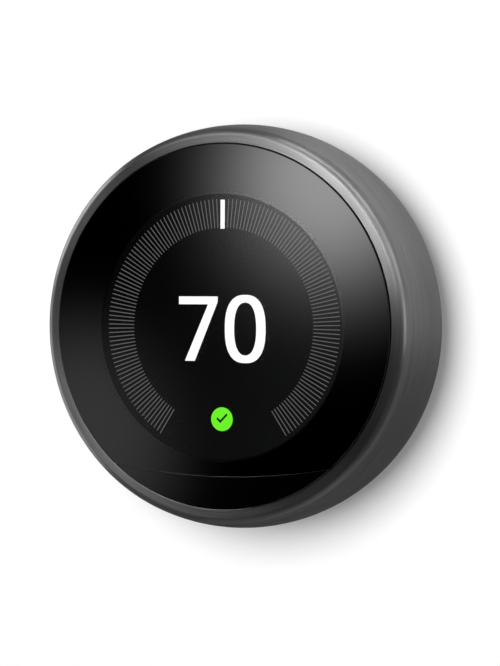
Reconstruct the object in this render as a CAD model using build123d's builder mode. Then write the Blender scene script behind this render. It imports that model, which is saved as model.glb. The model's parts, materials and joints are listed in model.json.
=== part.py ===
from build123d import *
import math
import os

# Round wall thermostat: a base on the wall, a head that pulls off it, a front that presses in
# as one button, and a steel ring that turns round the front.
# Frame: +Z up, +X right, the front faces -Y, and the origin is the middle of the wall face.
# Sizes are in millimetres. A height is a distance out from the wall, towards -Y.

os.makedirs("parts", exist_ok=True)

# Angles, in degrees from +X towards +Z
FULL_TURN = 360
HIGHEST_ANGLE = 90
LOWEST_ANGLE = 270

# Shared fits
SCREW_FIT = 0.05           # round a screw in its hole
SEAT_FIT = 0.1             # round a piece dropped into a pocket
BOND_GAP = 0.05            # glue line between two bonded pieces
RUN_FIT = 0.05             # radial running clearance of the ring and of the guide screws

# Base
BASE_R = 31.0              # outside of the base housing
BASE_WALL = 1.5
BASE_ROOF = 1.4
PLATE_T = 1.8
FLANGE_W = 4.0             # reach of the foot flange past the housing
FLANGE_H = 3.4
FLANGE_EDGE_CUT = 0.8      # bevel on the flange's front edge
STANDOFF_H = 2.2           # base board above the plate
BASE_BOARD_T = 1.2
BOARD_EDGE_GAP = 0.5
POCKET_FLOOR = 1.2
POCKET_DEPTH = 4.6         # wiring pocket, measured from the housing's front
POCKET_WALL = 1.2
POCKET_CORNER = 2.0
POCKET_WELL_GAP = 0.4      # pocket wall to the screw wells
WALL_SCREW_INSET = 6.0     # wall screw hole from the housing's outside
WALL_SCREW_R = 2.2
WELL_R = 3.8               # clear way for the screw's head
WELL_WALL = 1.0
WIRE_W = 18.0              # wire opening
WIRE_H = 15.0
WIRE_CORNER = 4.0
WIRE_Z = 2.5
BASE_SCREW_R = 1.1
BASE_SCREW_HEAD_R = 2.1
BASE_SCREW_HEAD_T = 1.2
BASE_SCREW_SINK = 0.15     # head below the plate's rear face
BASE_SCREW_TIP = 0.8       # screw end below the housing's roof
BASE_BOSS_R = 2.6
BASE_BOSS_INSET = 5.5      # boss middle from the housing's outside
BASE_BOSS_ANGLES = (62, 118, 242, 298)

# Wire terminals, five on each side of the pocket
TERMINALS = 5
TERMINAL_PITCH = 6.6
TERMINAL_INSET = 12.4      # column middle from the housing's outside
WIRE_HOLE_R = 0.9
WIRE_HOLE_LIFT = 0.9       # wire hole middle above the pocket floor
CLIP_L = 7.4
CLIP_W = 4.2
CLIP_T = 0.35
CLIP_LEAF_DROP = 1.1       # free end of the clip's leaf below its bend
CLIP_LEAF_L = 5.0
CLIP_POCKET_GAP = 0.7      # clip to the pocket's outer wall
TAB_L = 5.0
TAB_W = 3.6
TAB_LIP = 0.6              # lip under the roof, past the tab on each side
TAB_LIP_T = 1.1
TAB_LIP_GAP = 0.1
TAB_PROUD = 1.0
TAB_FIT = 0.2
TAB_TRAVEL = 0.9
TAB_CLIP_GAP = 0.1         # clip below the lip with the tab pressed in
TAB_ROUND = 0.4

# Bubble level
VIAL_R = 2.1
VIAL_BORE = 1.55
VIAL_L = 15.0
VIAL_CAP_T = 1.0
VIAL_Z_GAP = 0.4           # vial to the pocket's upper wall
FLUID_GAP = 0.05
BUBBLE_R = 1.3
SADDLE_W = 1.6
SADDLE_X = 5.0

# Socket and plug
SOCKET_L = 20.0
SOCKET_H = 6.0
SOCKET_WALL = 1.0
SOCKET_FLOOR = 1.0
SOCKET_SINK = 0.4          # socket mouth below the housing's front
SOCKET_EDGE = 1.6          # socket from the pocket's lower wall
PIN_R = 0.25
PIN_L = 3.4
PIN_COLUMNS = 10
PIN_ROWS = 2
PIN_PITCH = 1.6
PIN_FIT = 0.17
PLUG_FIT = 0.3             # plug inside the socket, each side
PLUG_TIP_GAP = 0.5
PLUG_HOLE_SPARE = 0.5
PLUG_FLANGE = 1.0

# Rear housing of the head
RECESS_FIT = 0.5           # recess round the base housing
RECESS_WALL = 1.4
RECESS_CLEAR = 0.6         # recess floor above the release tabs
HOUSING_FLOOR = 1.4
HEAD_GAP = 0.3             # head above the base's flange
HOUSING_WALL = 1.6
HOUSING_TAPER = 2.4
RIM_STEP = 0.74            # housing rim inside the ring's rear edge
RIM_CLEAR = 0.3            # ring above the rim with the front pressed in

# Main board
MAIN_STANDOFF = 2.4
MAIN_BOARD_T = 1.2
MAIN_EDGE_GAP = 1.5
BOARD_BOSS_R = 2.2
BOARD_BOSS_INSET = 4.0
BOARD_BOSS_ANGLES = (62, 118, 242, 298)
BOARD_SCREW_R = 0.9
BOARD_SCREW_HEAD_R = 1.7
BOARD_SCREW_HEAD_T = 1.0
BATTERY_W = 34.0
BATTERY_H = 24.0
BATTERY_T = 5.0
BATTERY_Z = 3.0
BATTERY_ROUND = 1.2
BATTERY_CLEAR = 1.6        # battery to the display bracket
PART_GAP = 1.5             # between neighbours on the board
SHIELD_W = 11.0
SHIELD_H = 9.0
SHIELD_T = 2.4
SHIELD_WALL = 0.4
BUZZER_R = 4.5
BUZZER_T = 3.0
BUZZER_HOLE_R = 0.8
CHIP_SIZES = ((4.0, 4.0), (5.0, 3.0))
CHIP_T = 1.1
RIBBON_SOCKET_L = 10.0
RIBBON_SOCKET_W = 3.4
RIBBON_SOCKET_T = 1.5
PORT_W = 8.0
PORT_H = 2.9
PORT_WALL = 0.4
PORT_SINK = 0.2            # port mouth inside the recess floor
PORT_Z = 18.5

# Push switch
PRESS_TRAVEL = 0.6
SWITCH_W = 6.0
SWITCH_T = 3.4
SWITCH_GAP = 4.0           # switch from the battery
PLUNGER_R = 1.6
PLUNGER_FIT = 0.05
PLUNGER_PROUD = 1.5
PLUNGER_SUNK = 1.5
PLUNGER_GAP = 0.02
SWITCH_BORE_SPARE = 0.3
ACTUATOR_R = 2.0

# Guide screws and return springs, worked by lugs inside the chassis
GUIDE_ANGLES = (90, 210, 330)
SPRING_ANGLES = (30, 150, 270)
GUIDE_INSET = 6.5          # guide screw from the chassis wall
GUIDE_R = 1.5
GUIDE_HEAD_R = 2.4
GUIDE_HEAD_T = 1.6
GUIDE_HEAD_FIT = 0.2
GUIDE_HEAD_GAP = 0.05
GUIDE_SEAT_H = 2.4         # head seat above the recess floor
GUIDE_BOSS_WALL = 1.0
GUIDE_BITE = 2.8           # screw in the lug
GUIDE_TIP_SPARE = 0.3
LUG_GAP = 1.3              # lug above the main board
LUG_STOP = 0.4             # lug above the guide boss with the front pressed in
LUG_T = 3.5
LUG_W = 12.0
LUG_L = 9.5                # reach of a lug inside the chassis wall
LUG_ROOT = 0.6             # lug's overlap with the wall it grows from
SPRING_T = 0.2
SPRING_L = 10.0
SPRING_W = 4.0
SPRING_FOOT = 2.0
SPRING_INSET = 4.0         # spring from the chassis wall
SPRING_GAP = 0.03

# Front chassis and ring bearing
FRONT_CLEAR = 0.6          # chassis wall round the recess
CHASSIS_WALL = 1.7
CHASSIS_SKIRT = 1.0        # chassis wall behind the retaining ring
GLIDE_T = 1.7
GLIDE_W = 3.9
GLIDE_END_GAP = 0.25
CARRIER_T = 2.35
CARRIER_END_GAP = 0.3
FACE_T = 2.9               # front plate of the chassis
FLANGE_EDGE = 0.8          # chassis flange inside the ring's bore
LIP_BACK_GAP = 0.3         # chassis flange behind the ring's lip
CLIP_RING_T = 0.8
CLIP_RING_LIFT = 2.0       # spring ring in from the rear edge of the steel ring
CLIP_RING_BITE = 0.8
CLIP_RING_W = 3.2
CLIP_RING_FIT = 0.03
CLIP_RING_OPEN = 12        # degrees left open
ENCODER_T = 0.2
ENCODER_W = 3.6
SENSOR_HEAD_W = 4.0        # ring sensor
SENSOR_HEAD_H = 2.4
SENSOR_HEAD_IN = 1.5
SENSOR_READ_GAP = 0.35

# Steel ring, measured outwards from its bore
RING_WALL = 1.24
RING_TAPER = 1.36          # rear edge inside the widest place
RING_BULGE = 1.17          # front of the side wall inside the widest place
SHOULDER_W = 1.38          # rounded shoulder from the side wall to the ridge
LIP_W = 1.6                # front lip from the ridge to the lens gap
LENS_GAP = 0.15
LIP_SINK = 0.5             # ridge below the lens edge
LIP_RISE = 0.16            # lip's inner edge above its ridge
LIP_T = 1.15
SHOULDER_D = 1.82          # front of the side wall behind the lens edge
WIDEST_D = 10.43
RING_D = 20.92             # rear edge behind the lens edge
RING_EDGE = 0.25           # broken edges

# Lens, display and sensors
LENS_EDGE_T = 1.2
LENS_CROWN = 0.7
LENS_EDGE_ROUND = 0.25
MASK_T = 0.1
MASK_EDGE = 0.3            # mask inside the lens edge
MASK_LAP = 0.85            # mask over the display's edge
WINDOW_H = 6.85            # sensor window at its tallest
SEAM_R = 138.0             # radius of the seam above the sensor window
SEAM_W = 0.12
DISPLAY_T = 1.4
DISPLAY_GAP = 0.4
BACKLIGHT_T = 2.0
BRACKET_T = 0.8
BRACKET_WALL = 0.5
BRACKET_WALL_H = 2.6
BRACKET_FIT = 0.2          # bracket inside the chassis opening
EAR_L = 4.3
EAR_W = 6.0
EAR_INSET = 2.5            # ear screw from the chassis wall
EAR_END_GAP = 0.4
EAR_SCREW_R = 0.8
EAR_SCREW_HEAD_R = 1.5
EAR_SCREW_HEAD_T = 0.9
EAR_SCREW_BITE = 1.8
SENSOR_POCKET_D = 1.8
SENSOR_POCKET_ANGLE = 50
SENSOR_POCKET_IN = 4.4     # pocket's inner and outer edges, from the lens edge
SENSOR_POCKET_OUT = 1.0
SENSOR_BOARD_T = 0.8
SENSOR_W = 2.8
SENSOR_T = 0.9
SENSOR_ANGLES = (256, 284)
RIBBON_T = 0.2
RIBBON_W = 8.0
RIBBON_STEP = 3.0          # the ribbon's sideways bend
RIBBON_PLUG_GAP = 0.02
RIBBON_SLOT_FIT = 0.6

# Heights out from the wall, worked out in the order the pieces stack up
base_board_h = PLATE_T + STANDOFF_H
base_board_top = base_board_h + BASE_BOARD_T
pocket_floor_h = base_board_top + POCKET_FLOOR
base_front_h = pocket_floor_h + POCKET_DEPTH
base_roof_h = base_front_h - BASE_ROOF
recess_floor_h = base_front_h + TAB_PROUD + RECESS_CLEAR
housing_floor_h = recess_floor_h + HOUSING_FLOOR
main_board_h = housing_floor_h + MAIN_STANDOFF
main_board_top = main_board_h + MAIN_BOARD_T
lug_h = main_board_top + LUG_GAP
bracket_h = main_board_top + BATTERY_T + BATTERY_CLEAR
backlight_h = bracket_h + BRACKET_T
display_h = backlight_h + BACKLIGHT_T
lens_back_h = display_h + DISPLAY_T + DISPLAY_GAP
lens_edge_h = lens_back_h + LENS_EDGE_T
face_h = lens_back_h - MASK_T
face_back_h = face_h - FACE_T
ring_rear_h = lens_edge_h - RING_D
rim_h = ring_rear_h - PRESS_TRAVEL - RIM_CLEAR
head_rear_h = FLANGE_H + HEAD_GAP
ridge_h = lens_edge_h - LIP_SINK
lip_back_h = ridge_h - LIP_T
flange_top = lip_back_h - LIP_BACK_GAP
clip_ring_h = ring_rear_h + PRESS_TRAVEL + RIM_CLEAR + CLIP_RING_LIFT
carrier_h = clip_ring_h + CLIP_RING_T + CARRIER_END_GAP
carrier_top = face_back_h - CARRIER_END_GAP
chassis_rear_h = clip_ring_h - CHASSIS_SKIRT
encoder_h = (carrier_h + carrier_top - ENCODER_W) / 2
sensor_mid_h = encoder_h + ENCODER_W / 2
pocket_floor = face_h - SENSOR_POCKET_D

# Radii, worked out from the base outwards
flange_r = BASE_R + FLANGE_W
base_inner_r = BASE_R - BASE_WALL
recess_r = BASE_R + RECESS_FIT
recess_outer_r = recess_r + RECESS_WALL
chassis_in_r = recess_outer_r + FRONT_CLEAR
chassis_out_r = chassis_in_r + CHASSIS_WALL
glide_out_r = chassis_out_r + BOND_GAP + GLIDE_T
carrier_in_r = glide_out_r + RUN_FIT
carrier_out_r = carrier_in_r + CARRIER_T
ring_bore_r = carrier_out_r + BOND_GAP
ring_rear_r = ring_bore_r + RING_WALL
ring_widest_r = ring_rear_r + RING_TAPER
ring_front_r = ring_widest_r - RING_BULGE
ridge_r = ring_front_r - SHOULDER_W
lip_in_r = ridge_r - LIP_W
lens_r = lip_in_r - LENS_GAP
face_opening_r = chassis_in_r - EAR_L - EAR_END_GAP + BRACKET_FIT
bracket_r = face_opening_r - BRACKET_FIT
display_r = bracket_r - BRACKET_WALL - SEAT_FIT
mask_in_r = display_r - MASK_LAP
main_board_r = chassis_in_r - MAIN_EDGE_GAP
guide_radius = chassis_in_r - GUIDE_INSET
guide_boss_r = GUIDE_HEAD_R + GUIDE_HEAD_FIT + GUIDE_BOSS_WALL
guide_boss_top = lug_h - PRESS_TRAVEL - LUG_STOP
chassis_flange_r = ring_bore_r - FLANGE_EDGE
face_r = lens_r - MASK_EDGE
pocket_in_r = lens_r - SENSOR_POCKET_IN
pocket_out_r = lens_r - SENSOR_POCKET_OUT

# Places on the base's front
terminal_x = BASE_R - TERMINAL_INSET
pocket_w = 2 * (terminal_x - CLIP_L / 2 - CLIP_POCKET_GAP - POCKET_WALL)
wall_screw_z = BASE_R - WALL_SCREW_INSET
well_outer_r = WELL_R + WELL_WALL
pocket_top_z = wall_screw_z - well_outer_r - POCKET_WALL - POCKET_WELL_GAP
pocket_bottom_z = -pocket_top_z
pocket_h = pocket_top_z - pocket_bottom_z
terminal_zs = [TERMINAL_PITCH * (i - (TERMINALS - 1) / 2) for i in range(TERMINALS)]
wire_hole_h = pocket_floor_h + WIRE_HOLE_LIFT
boss_radius = BASE_R - BASE_BOSS_INSET
vial_z = pocket_top_z - VIAL_Z_GAP - VIAL_R
vial_h = pocket_floor_h + VIAL_R + SEAT_FIT
socket_z = pocket_bottom_z + SOCKET_EDGE + SOCKET_H / 2
socket_top = base_front_h - SOCKET_SINK
socket_floor_h = base_board_top + SOCKET_FLOOR
tab_lip_top = base_roof_h - TAB_LIP_GAP
tab_lip_h = tab_lip_top - TAB_LIP_T
tab_top = base_front_h + TAB_PROUD
plug_w = SOCKET_L - 2 * SOCKET_WALL - 2 * PLUG_FIT
plug_h = SOCKET_H - 2 * SOCKET_WALL - 2 * PLUG_FIT
plug_tip_h = socket_floor_h + PLUG_TIP_GAP
plug_hole_depth = PIN_L - PLUG_TIP_GAP + PLUG_HOLE_SPARE

# Places on the main board
side_x = BATTERY_W / 2 + PART_GAP + SHIELD_H / 2
switch_z = BATTERY_Z - BATTERY_H / 2 - SWITCH_GAP - SWITCH_W / 2
lower_x = SWITCH_W / 2 + PART_GAP + SHIELD_W / 2
upper_z = BATTERY_Z + BATTERY_H / 2 + PART_GAP + RIBBON_SOCKET_W / 2
ribbon_x = -RIBBON_SOCKET_L / 2 - guide_boss_r - PART_GAP
actuator_end = main_board_top + SWITCH_T + PLUNGER_PROUD + PLUNGER_GAP
ribbon_top_z = upper_z - RIBBON_STEP

# Sensor window seam: an arc whose lowest place is WINDOW_H above the lens's lowest place
seam_z = -(lens_r - WINDOW_H)
seam_centre_z = seam_z + SEAM_R


def out(height):
    """Plane parallel to the wall, at a height out from it, facing the room."""
    return Plane.XZ.offset(height)


def turned(points):
    """Closed profile of a turned piece, from (radius, height) pairs, on the XY plane."""
    Polyline(*[(radius, -height) for radius, height in points], close=True)


def polar(radius, angle):
    """A place on the front, at an angle from +X towards +Z."""
    return (radius * math.cos(math.radians(angle)), radius * math.sin(math.radians(angle)))


base_boss_places = [polar(boss_radius, angle) for angle in BASE_BOSS_ANGLES]
wall_screw_places = [(0, wall_screw_z), (0, -wall_screw_z)]
terminal_places = [(side * terminal_x, z) for side in (-1, 1) for z in terminal_zs]
board_boss_places = [polar(main_board_r - BOARD_BOSS_INSET, angle) for angle in BOARD_BOSS_ANGLES]
guide_places = [polar(guide_radius, angle) for angle in GUIDE_ANGLES]
ear_places = [polar(chassis_in_r - EAR_INSET, angle) for angle in GUIDE_ANGLES]

# Base plate: foot flange, posts for the board, screw holes and the wire opening
with BuildPart() as base_plate:
    with BuildSketch(Plane.XY):
        with BuildLine():
            turned([
                (0, 0), (flange_r, 0), (flange_r, FLANGE_H - FLANGE_EDGE_CUT),
                (flange_r - FLANGE_EDGE_CUT, FLANGE_H), (BASE_R + SEAT_FIT, FLANGE_H),
                (BASE_R + SEAT_FIT, PLATE_T), (0, PLATE_T),
            ])
        make_face()
    revolve(axis=Axis.Y)
    with BuildSketch(out(PLATE_T)):
        with Locations(*base_boss_places):
            Circle(BASE_BOSS_R)
    extrude(amount=STANDOFF_H)
    with BuildSketch(out(0)):
        with Locations(*base_boss_places):
            Circle(BASE_SCREW_R + SCREW_FIT)
        with Locations(*wall_screw_places):
            Circle(WALL_SCREW_R)
        with Locations((0, WIRE_Z)):
            RectangleRounded(WIRE_W, WIRE_H, WIRE_CORNER)
    extrude(amount=base_board_h, mode=Mode.SUBTRACT)
    with BuildSketch(out(0)):
        with Locations(*base_boss_places):
            Circle(BASE_SCREW_HEAD_R + SCREW_FIT)
    extrude(amount=BASE_SCREW_SINK, mode=Mode.SUBTRACT)
    with Locations(*[Location((x, -BASE_SCREW_SINK, z), (-90, 0, 0)) for x, z in base_boss_places]):
        Cone(
            BASE_SCREW_R + SCREW_FIT, BASE_SCREW_HEAD_R + SCREW_FIT, BASE_SCREW_HEAD_T,
            align=(Align.CENTER, Align.CENTER, Align.MAX), mode=Mode.SUBTRACT,
        )
base_plate.part.label = "base_plate"
export_step(base_plate.part, "parts/base_plate.step")

# Base housing: a cup with a wiring pocket in its front
with BuildPart() as base_housing:
    with BuildSketch(Plane.XY):
        with BuildLine():
            turned([
                (0, base_roof_h), (base_inner_r, base_roof_h), (base_inner_r, PLATE_T), (BASE_R, PLATE_T),
                (BASE_R, base_front_h), (0, base_front_h),
            ])
        make_face()
    revolve(axis=Axis.Y)
    with BuildSketch(out(base_board_top)):
        RectangleRounded(pocket_w + 2 * POCKET_WALL, pocket_h + 2 * POCKET_WALL, POCKET_CORNER + POCKET_WALL)
        with Locations(*base_boss_places):
            Circle(BASE_BOSS_R)
    extrude(amount=base_roof_h - base_board_top)
    with BuildSketch(out(PLATE_T)):
        with Locations(*wall_screw_places):
            Circle(well_outer_r)
        Circle(BASE_R, mode=Mode.INTERSECT)
    extrude(amount=base_roof_h - PLATE_T)
    with BuildSketch(out(pocket_floor_h)):
        RectangleRounded(pocket_w, pocket_h, POCKET_CORNER)
    extrude(amount=POCKET_DEPTH, mode=Mode.SUBTRACT)
    with BuildSketch(out(PLATE_T)):
        with Locations(*wall_screw_places):
            Circle(WELL_R)
        with Locations((0, WIRE_Z)):
            RectangleRounded(WIRE_W, WIRE_H, WIRE_CORNER)
        with Locations((0, socket_z)):
            Rectangle(SOCKET_L + 2 * SEAT_FIT, SOCKET_H + 2 * SEAT_FIT)
    extrude(amount=base_front_h - PLATE_T, mode=Mode.SUBTRACT)
    with BuildSketch(out(base_roof_h)):
        with Locations(*terminal_places):
            Rectangle(TAB_L + 2 * TAB_FIT, TAB_W + 2 * TAB_FIT)
    extrude(amount=BASE_ROOF, mode=Mode.SUBTRACT)
    with BuildSketch(out(base_board_top)):
        with Locations(*base_boss_places):
            Circle(BASE_SCREW_R + SCREW_FIT)
    extrude(amount=base_roof_h - base_board_top, mode=Mode.SUBTRACT)
    with BuildSketch(Plane.YZ):
        with Locations(*[(-wire_hole_h, z) for z in terminal_zs]):
            Circle(WIRE_HOLE_R)
    extrude(amount=pocket_w / 2 + POCKET_WALL, both=True, mode=Mode.SUBTRACT)
    with BuildSketch(out(pocket_floor_h)):
        with Locations((SADDLE_X, vial_z), (-SADDLE_X, vial_z)):
            Rectangle(SADDLE_W, 2 * VIAL_R)
    extrude(amount=vial_h - pocket_floor_h)
    with BuildSketch(Plane.YZ.offset(-VIAL_L / 2)):
        with Locations((-vial_h, vial_z)):
            Circle(VIAL_R + BOND_GAP)
    extrude(amount=VIAL_L, mode=Mode.SUBTRACT)
base_housing.part.label = "base_housing"
export_step(base_housing.part, "parts/base_housing.step")

# Base board
with BuildPart() as base_board:
    with BuildSketch(out(base_board_h)):
        Circle(base_inner_r - BOARD_EDGE_GAP)
        with Locations(*wall_screw_places):
            Circle(well_outer_r + SEAT_FIT, mode=Mode.SUBTRACT)
        with Locations(*base_boss_places):
            Circle(BASE_SCREW_R + SCREW_FIT, mode=Mode.SUBTRACT)
        with Locations((0, WIRE_Z)):
            RectangleRounded(WIRE_W, WIRE_H, WIRE_CORNER, mode=Mode.SUBTRACT)
    extrude(amount=BASE_BOARD_T)
base_board.part.label = "base_board"
export_step(base_board.part, "parts/base_board.step")

# Screws that hold the plate, the board and the housing together, with countersunk heads
with BuildPart() as base_screws:
    with BuildSketch(out(BASE_SCREW_SINK)):
        with Locations(*base_boss_places):
            Circle(BASE_SCREW_R)
    extrude(amount=base_roof_h - BASE_SCREW_TIP - BASE_SCREW_SINK)
    with Locations(*[Location((x, -BASE_SCREW_SINK, z), (-90, 0, 0)) for x, z in base_boss_places]):
        Cone(
            BASE_SCREW_R, BASE_SCREW_HEAD_R, BASE_SCREW_HEAD_T,
            align=(Align.CENTER, Align.CENTER, Align.MAX),
        )
base_screws.part.label = "base_screws"
export_step(base_screws.part, "parts/base_screws.step")

# Sprung wire clips: a foot on the board, an upright and a leaf that bends back over the foot
with BuildPart() as terminal_clips:
    for side in (-1, 1):
        toe = side * (terminal_x - CLIP_L / 2)
        heel = side * (terminal_x + CLIP_L / 2)
        inner = heel - side * CLIP_T
        leaf_end = heel - side * CLIP_LEAF_L
        bend_h = tab_lip_h - TAB_TRAVEL - TAB_CLIP_GAP
        for z in terminal_zs:
            with BuildSketch(Plane.XY.offset(z - CLIP_W / 2)):
                with BuildLine():
                    turned([
                        (toe, base_board_top), (heel, base_board_top), (heel, bend_h),
                        (leaf_end, bend_h - CLIP_LEAF_DROP + CLIP_T), (leaf_end, bend_h - CLIP_LEAF_DROP),
                        (inner, bend_h - CLIP_T), (inner, base_board_top + CLIP_T),
                        (toe, base_board_top + CLIP_T),
                    ])
                make_face()
            extrude(amount=CLIP_W)
terminal_clips.part.label = "terminal_clips"
export_step(terminal_clips.part, "parts/terminal_clips.step")

# Release tabs: push buttons over the clips, each in its own slot, kept in by a lip under the roof
for number, (x, z) in enumerate(terminal_places, start=1):
    with BuildPart() as release_tab:
        with BuildSketch(out(tab_lip_h)):
            with Locations((x, z)):
                Rectangle(TAB_L + 2 * TAB_LIP, TAB_W + 2 * TAB_LIP)
        extrude(amount=TAB_LIP_T)
        with BuildSketch(out(tab_lip_top)):
            with Locations((x, z)):
                Rectangle(TAB_L, TAB_W)
        extrude(amount=tab_top - tab_lip_top)
        fillet(release_tab.faces().sort_by(Axis.Y)[0].edges(), TAB_ROUND)
    release_tab.part.label = f"release_tab_{number}"
    export_step(release_tab.part, f"parts/release_tab_{number}.step")

# Bubble level: a clear tube, its fluid with the bubble, and two end caps
with BuildPart() as level_vial:
    with BuildSketch(Plane.YZ.offset(-VIAL_L / 2)):
        with Locations((-vial_h, vial_z)):
            Circle(VIAL_R)
            Circle(VIAL_BORE, mode=Mode.SUBTRACT)
    extrude(amount=VIAL_L)
level_vial.part.label = "level_vial"
export_step(level_vial.part, "parts/level_vial.step")

with BuildPart() as level_fluid:
    with BuildSketch(Plane.YZ.offset(VIAL_CAP_T - VIAL_L / 2)):
        with Locations((-vial_h, vial_z)):
            Circle(VIAL_BORE - FLUID_GAP)
    extrude(amount=VIAL_L - 2 * VIAL_CAP_T)
    with Locations((0, -vial_h, vial_z + VIAL_BORE)):
        Sphere(BUBBLE_R, mode=Mode.SUBTRACT)
level_fluid.part.label = "level_fluid"
export_step(level_fluid.part, "parts/level_fluid.step")

with BuildPart() as level_caps:
    for start in (-VIAL_L / 2, VIAL_L / 2 - VIAL_CAP_T):
        with BuildSketch(Plane.YZ.offset(start)):
            with Locations((-vial_h, vial_z)):
                Circle(VIAL_BORE - FLUID_GAP)
        extrude(amount=VIAL_CAP_T)
level_caps.part.label = "level_caps"
export_step(level_caps.part, "parts/level_caps.step")

# Socket of the base with its pins
with BuildPart() as base_socket:
    with BuildSketch(out(base_board_top)):
        with Locations((0, socket_z)):
            Rectangle(SOCKET_L, SOCKET_H)
    extrude(amount=socket_top - base_board_top)
    with BuildSketch(out(socket_floor_h)):
        with Locations((0, socket_z)):
            Rectangle(SOCKET_L - 2 * SOCKET_WALL, SOCKET_H - 2 * SOCKET_WALL)
    extrude(amount=socket_top - socket_floor_h, mode=Mode.SUBTRACT)
base_socket.part.label = "base_socket"
export_step(base_socket.part, "parts/base_socket.step")

with BuildPart() as socket_pins:
    with BuildSketch(out(socket_floor_h)):
        with Locations((0, socket_z)):
            with GridLocations(PIN_PITCH, PIN_PITCH, PIN_COLUMNS, PIN_ROWS):
                Circle(PIN_R)
    extrude(amount=PIN_L)
socket_pins.part.label = "socket_pins"
export_step(socket_pins.part, "parts/socket_pins.step")

# Rear housing: recess for the base, tapered outer wall, bosses for the board and the guide screws
with BuildPart() as rear_housing:
    with BuildSketch(Plane.XY):
        with BuildLine():
            rim_r = ring_rear_r - RIM_STEP
            rear_r = rim_r - HOUSING_TAPER
            channel_h = head_rear_h + HOUSING_WALL
            turned([
                (0, recess_floor_h), (recess_r, recess_floor_h),
                (recess_r, head_rear_h), (rear_r, head_rear_h),
                (rim_r, rim_h), (rim_r - HOUSING_WALL, rim_h), (rear_r - HOUSING_WALL, channel_h),
                (recess_outer_r, channel_h), (recess_outer_r, housing_floor_h), (0, housing_floor_h),
            ])
        make_face()
    revolve(axis=Axis.Y)
    with BuildSketch(out(housing_floor_h)):
        with Locations(*board_boss_places):
            Circle(BOARD_BOSS_R)
    extrude(amount=MAIN_STANDOFF)
    with BuildSketch(out(housing_floor_h)):
        with Locations(*guide_places):
            Circle(guide_boss_r)
    extrude(amount=guide_boss_top - housing_floor_h)
    with BuildSketch(out(housing_floor_h)):
        with Locations(*board_boss_places):
            Circle(BOARD_SCREW_R + SCREW_FIT)
    extrude(amount=MAIN_STANDOFF, mode=Mode.SUBTRACT)
    with BuildSketch(out(recess_floor_h)):
        with Locations(*guide_places):
            Circle(GUIDE_HEAD_R + GUIDE_HEAD_FIT)
    extrude(amount=GUIDE_SEAT_H, mode=Mode.SUBTRACT)
    with BuildSketch(out(recess_floor_h)):
        with Locations(*guide_places):
            Circle(GUIDE_R + RUN_FIT)
        with Locations((0, socket_z)):
            Rectangle(plug_w + 2 * SEAT_FIT, plug_h + 2 * SEAT_FIT)
        with Locations((0, PORT_Z)):
            Rectangle(PORT_W + 2 * SEAT_FIT, PORT_H + 2 * SEAT_FIT)
    extrude(amount=guide_boss_top - recess_floor_h, mode=Mode.SUBTRACT)
rear_housing.part.label = "rear_housing"
export_step(rear_housing.part, "parts/rear_housing.step")

# Main board and what stands on it
with BuildPart() as main_board:
    with BuildSketch(out(main_board_h)):
        Circle(main_board_r)
        with Locations(*guide_places):
            Circle(guide_boss_r + SEAT_FIT, mode=Mode.SUBTRACT)
        with Locations(*board_boss_places):
            Circle(BOARD_SCREW_R + SCREW_FIT, mode=Mode.SUBTRACT)
    extrude(amount=MAIN_BOARD_T)
main_board.part.label = "main_board"
export_step(main_board.part, "parts/main_board.step")

with BuildPart() as board_screws:
    with BuildSketch(out(housing_floor_h)):
        with Locations(*board_boss_places):
            Circle(BOARD_SCREW_R)
    extrude(amount=main_board_top - housing_floor_h)
    with BuildSketch(out(main_board_top)):
        with Locations(*board_boss_places):
            Circle(BOARD_SCREW_HEAD_R)
    extrude(amount=BOARD_SCREW_HEAD_T)
board_screws.part.label = "board_screws"
export_step(board_screws.part, "parts/board_screws.step")

with BuildPart() as battery:
    with BuildSketch(out(main_board_top)):
        with Locations((0, BATTERY_Z)):
            RectangleRounded(BATTERY_W, BATTERY_H, BATTERY_ROUND)
    extrude(amount=BATTERY_T)
battery.part.label = "battery"
export_step(battery.part, "parts/battery.step")

# Shield cans: pressed metal, open towards the board
shield_places = {
    "radio_shield": (-side_x, 0, SHIELD_H, SHIELD_W),
    "processor_shield": (-lower_x, switch_z, SHIELD_W, SHIELD_H),
    "power_shield": (lower_x, switch_z, SHIELD_W, SHIELD_H),
}
for shield_name, (x, z, width, height) in shield_places.items():
    with BuildPart() as shield:
        with BuildSketch(out(main_board_top)):
            with Locations((x, z)):
                Rectangle(width, height)
        extrude(amount=SHIELD_T)
        with BuildSketch(out(main_board_top)):
            with Locations((x, z)):
                Rectangle(width - 2 * SHIELD_WALL, height - 2 * SHIELD_WALL)
        extrude(amount=SHIELD_T - SHIELD_WALL, mode=Mode.SUBTRACT)
    shield.part.label = shield_name
    export_step(shield.part, f"parts/{shield_name}.step")

with BuildPart() as buzzer:
    with BuildSketch(out(main_board_top)):
        with Locations((side_x, 0)):
            Circle(BUZZER_R)
    extrude(amount=BUZZER_T)
    with BuildSketch(out(main_board_top + BUZZER_T / 2)):
        with Locations((side_x, 0)):
            Circle(BUZZER_HOLE_R)
    extrude(amount=BUZZER_T / 2, mode=Mode.SUBTRACT)
buzzer.part.label = "buzzer"
export_step(buzzer.part, "parts/buzzer.step")

with BuildPart() as board_chips:
    chip_x = guide_boss_r + PART_GAP
    for chip_w, chip_h in CHIP_SIZES:
        with BuildSketch(out(main_board_top)):
            with Locations((chip_x + chip_w / 2, upper_z)):
                Rectangle(chip_w, chip_h)
        extrude(amount=CHIP_T)
        chip_x += chip_w + PART_GAP
board_chips.part.label = "board_chips"
export_step(board_chips.part, "parts/board_chips.step")

with BuildPart() as ribbon_socket:
    with BuildSketch(out(main_board_top)):
        with Locations((ribbon_x, upper_z)):
            Rectangle(RIBBON_SOCKET_L, RIBBON_SOCKET_W)
    extrude(amount=RIBBON_SOCKET_T)
ribbon_socket.part.label = "ribbon_socket"
export_step(ribbon_socket.part, "parts/ribbon_socket.step")

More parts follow.
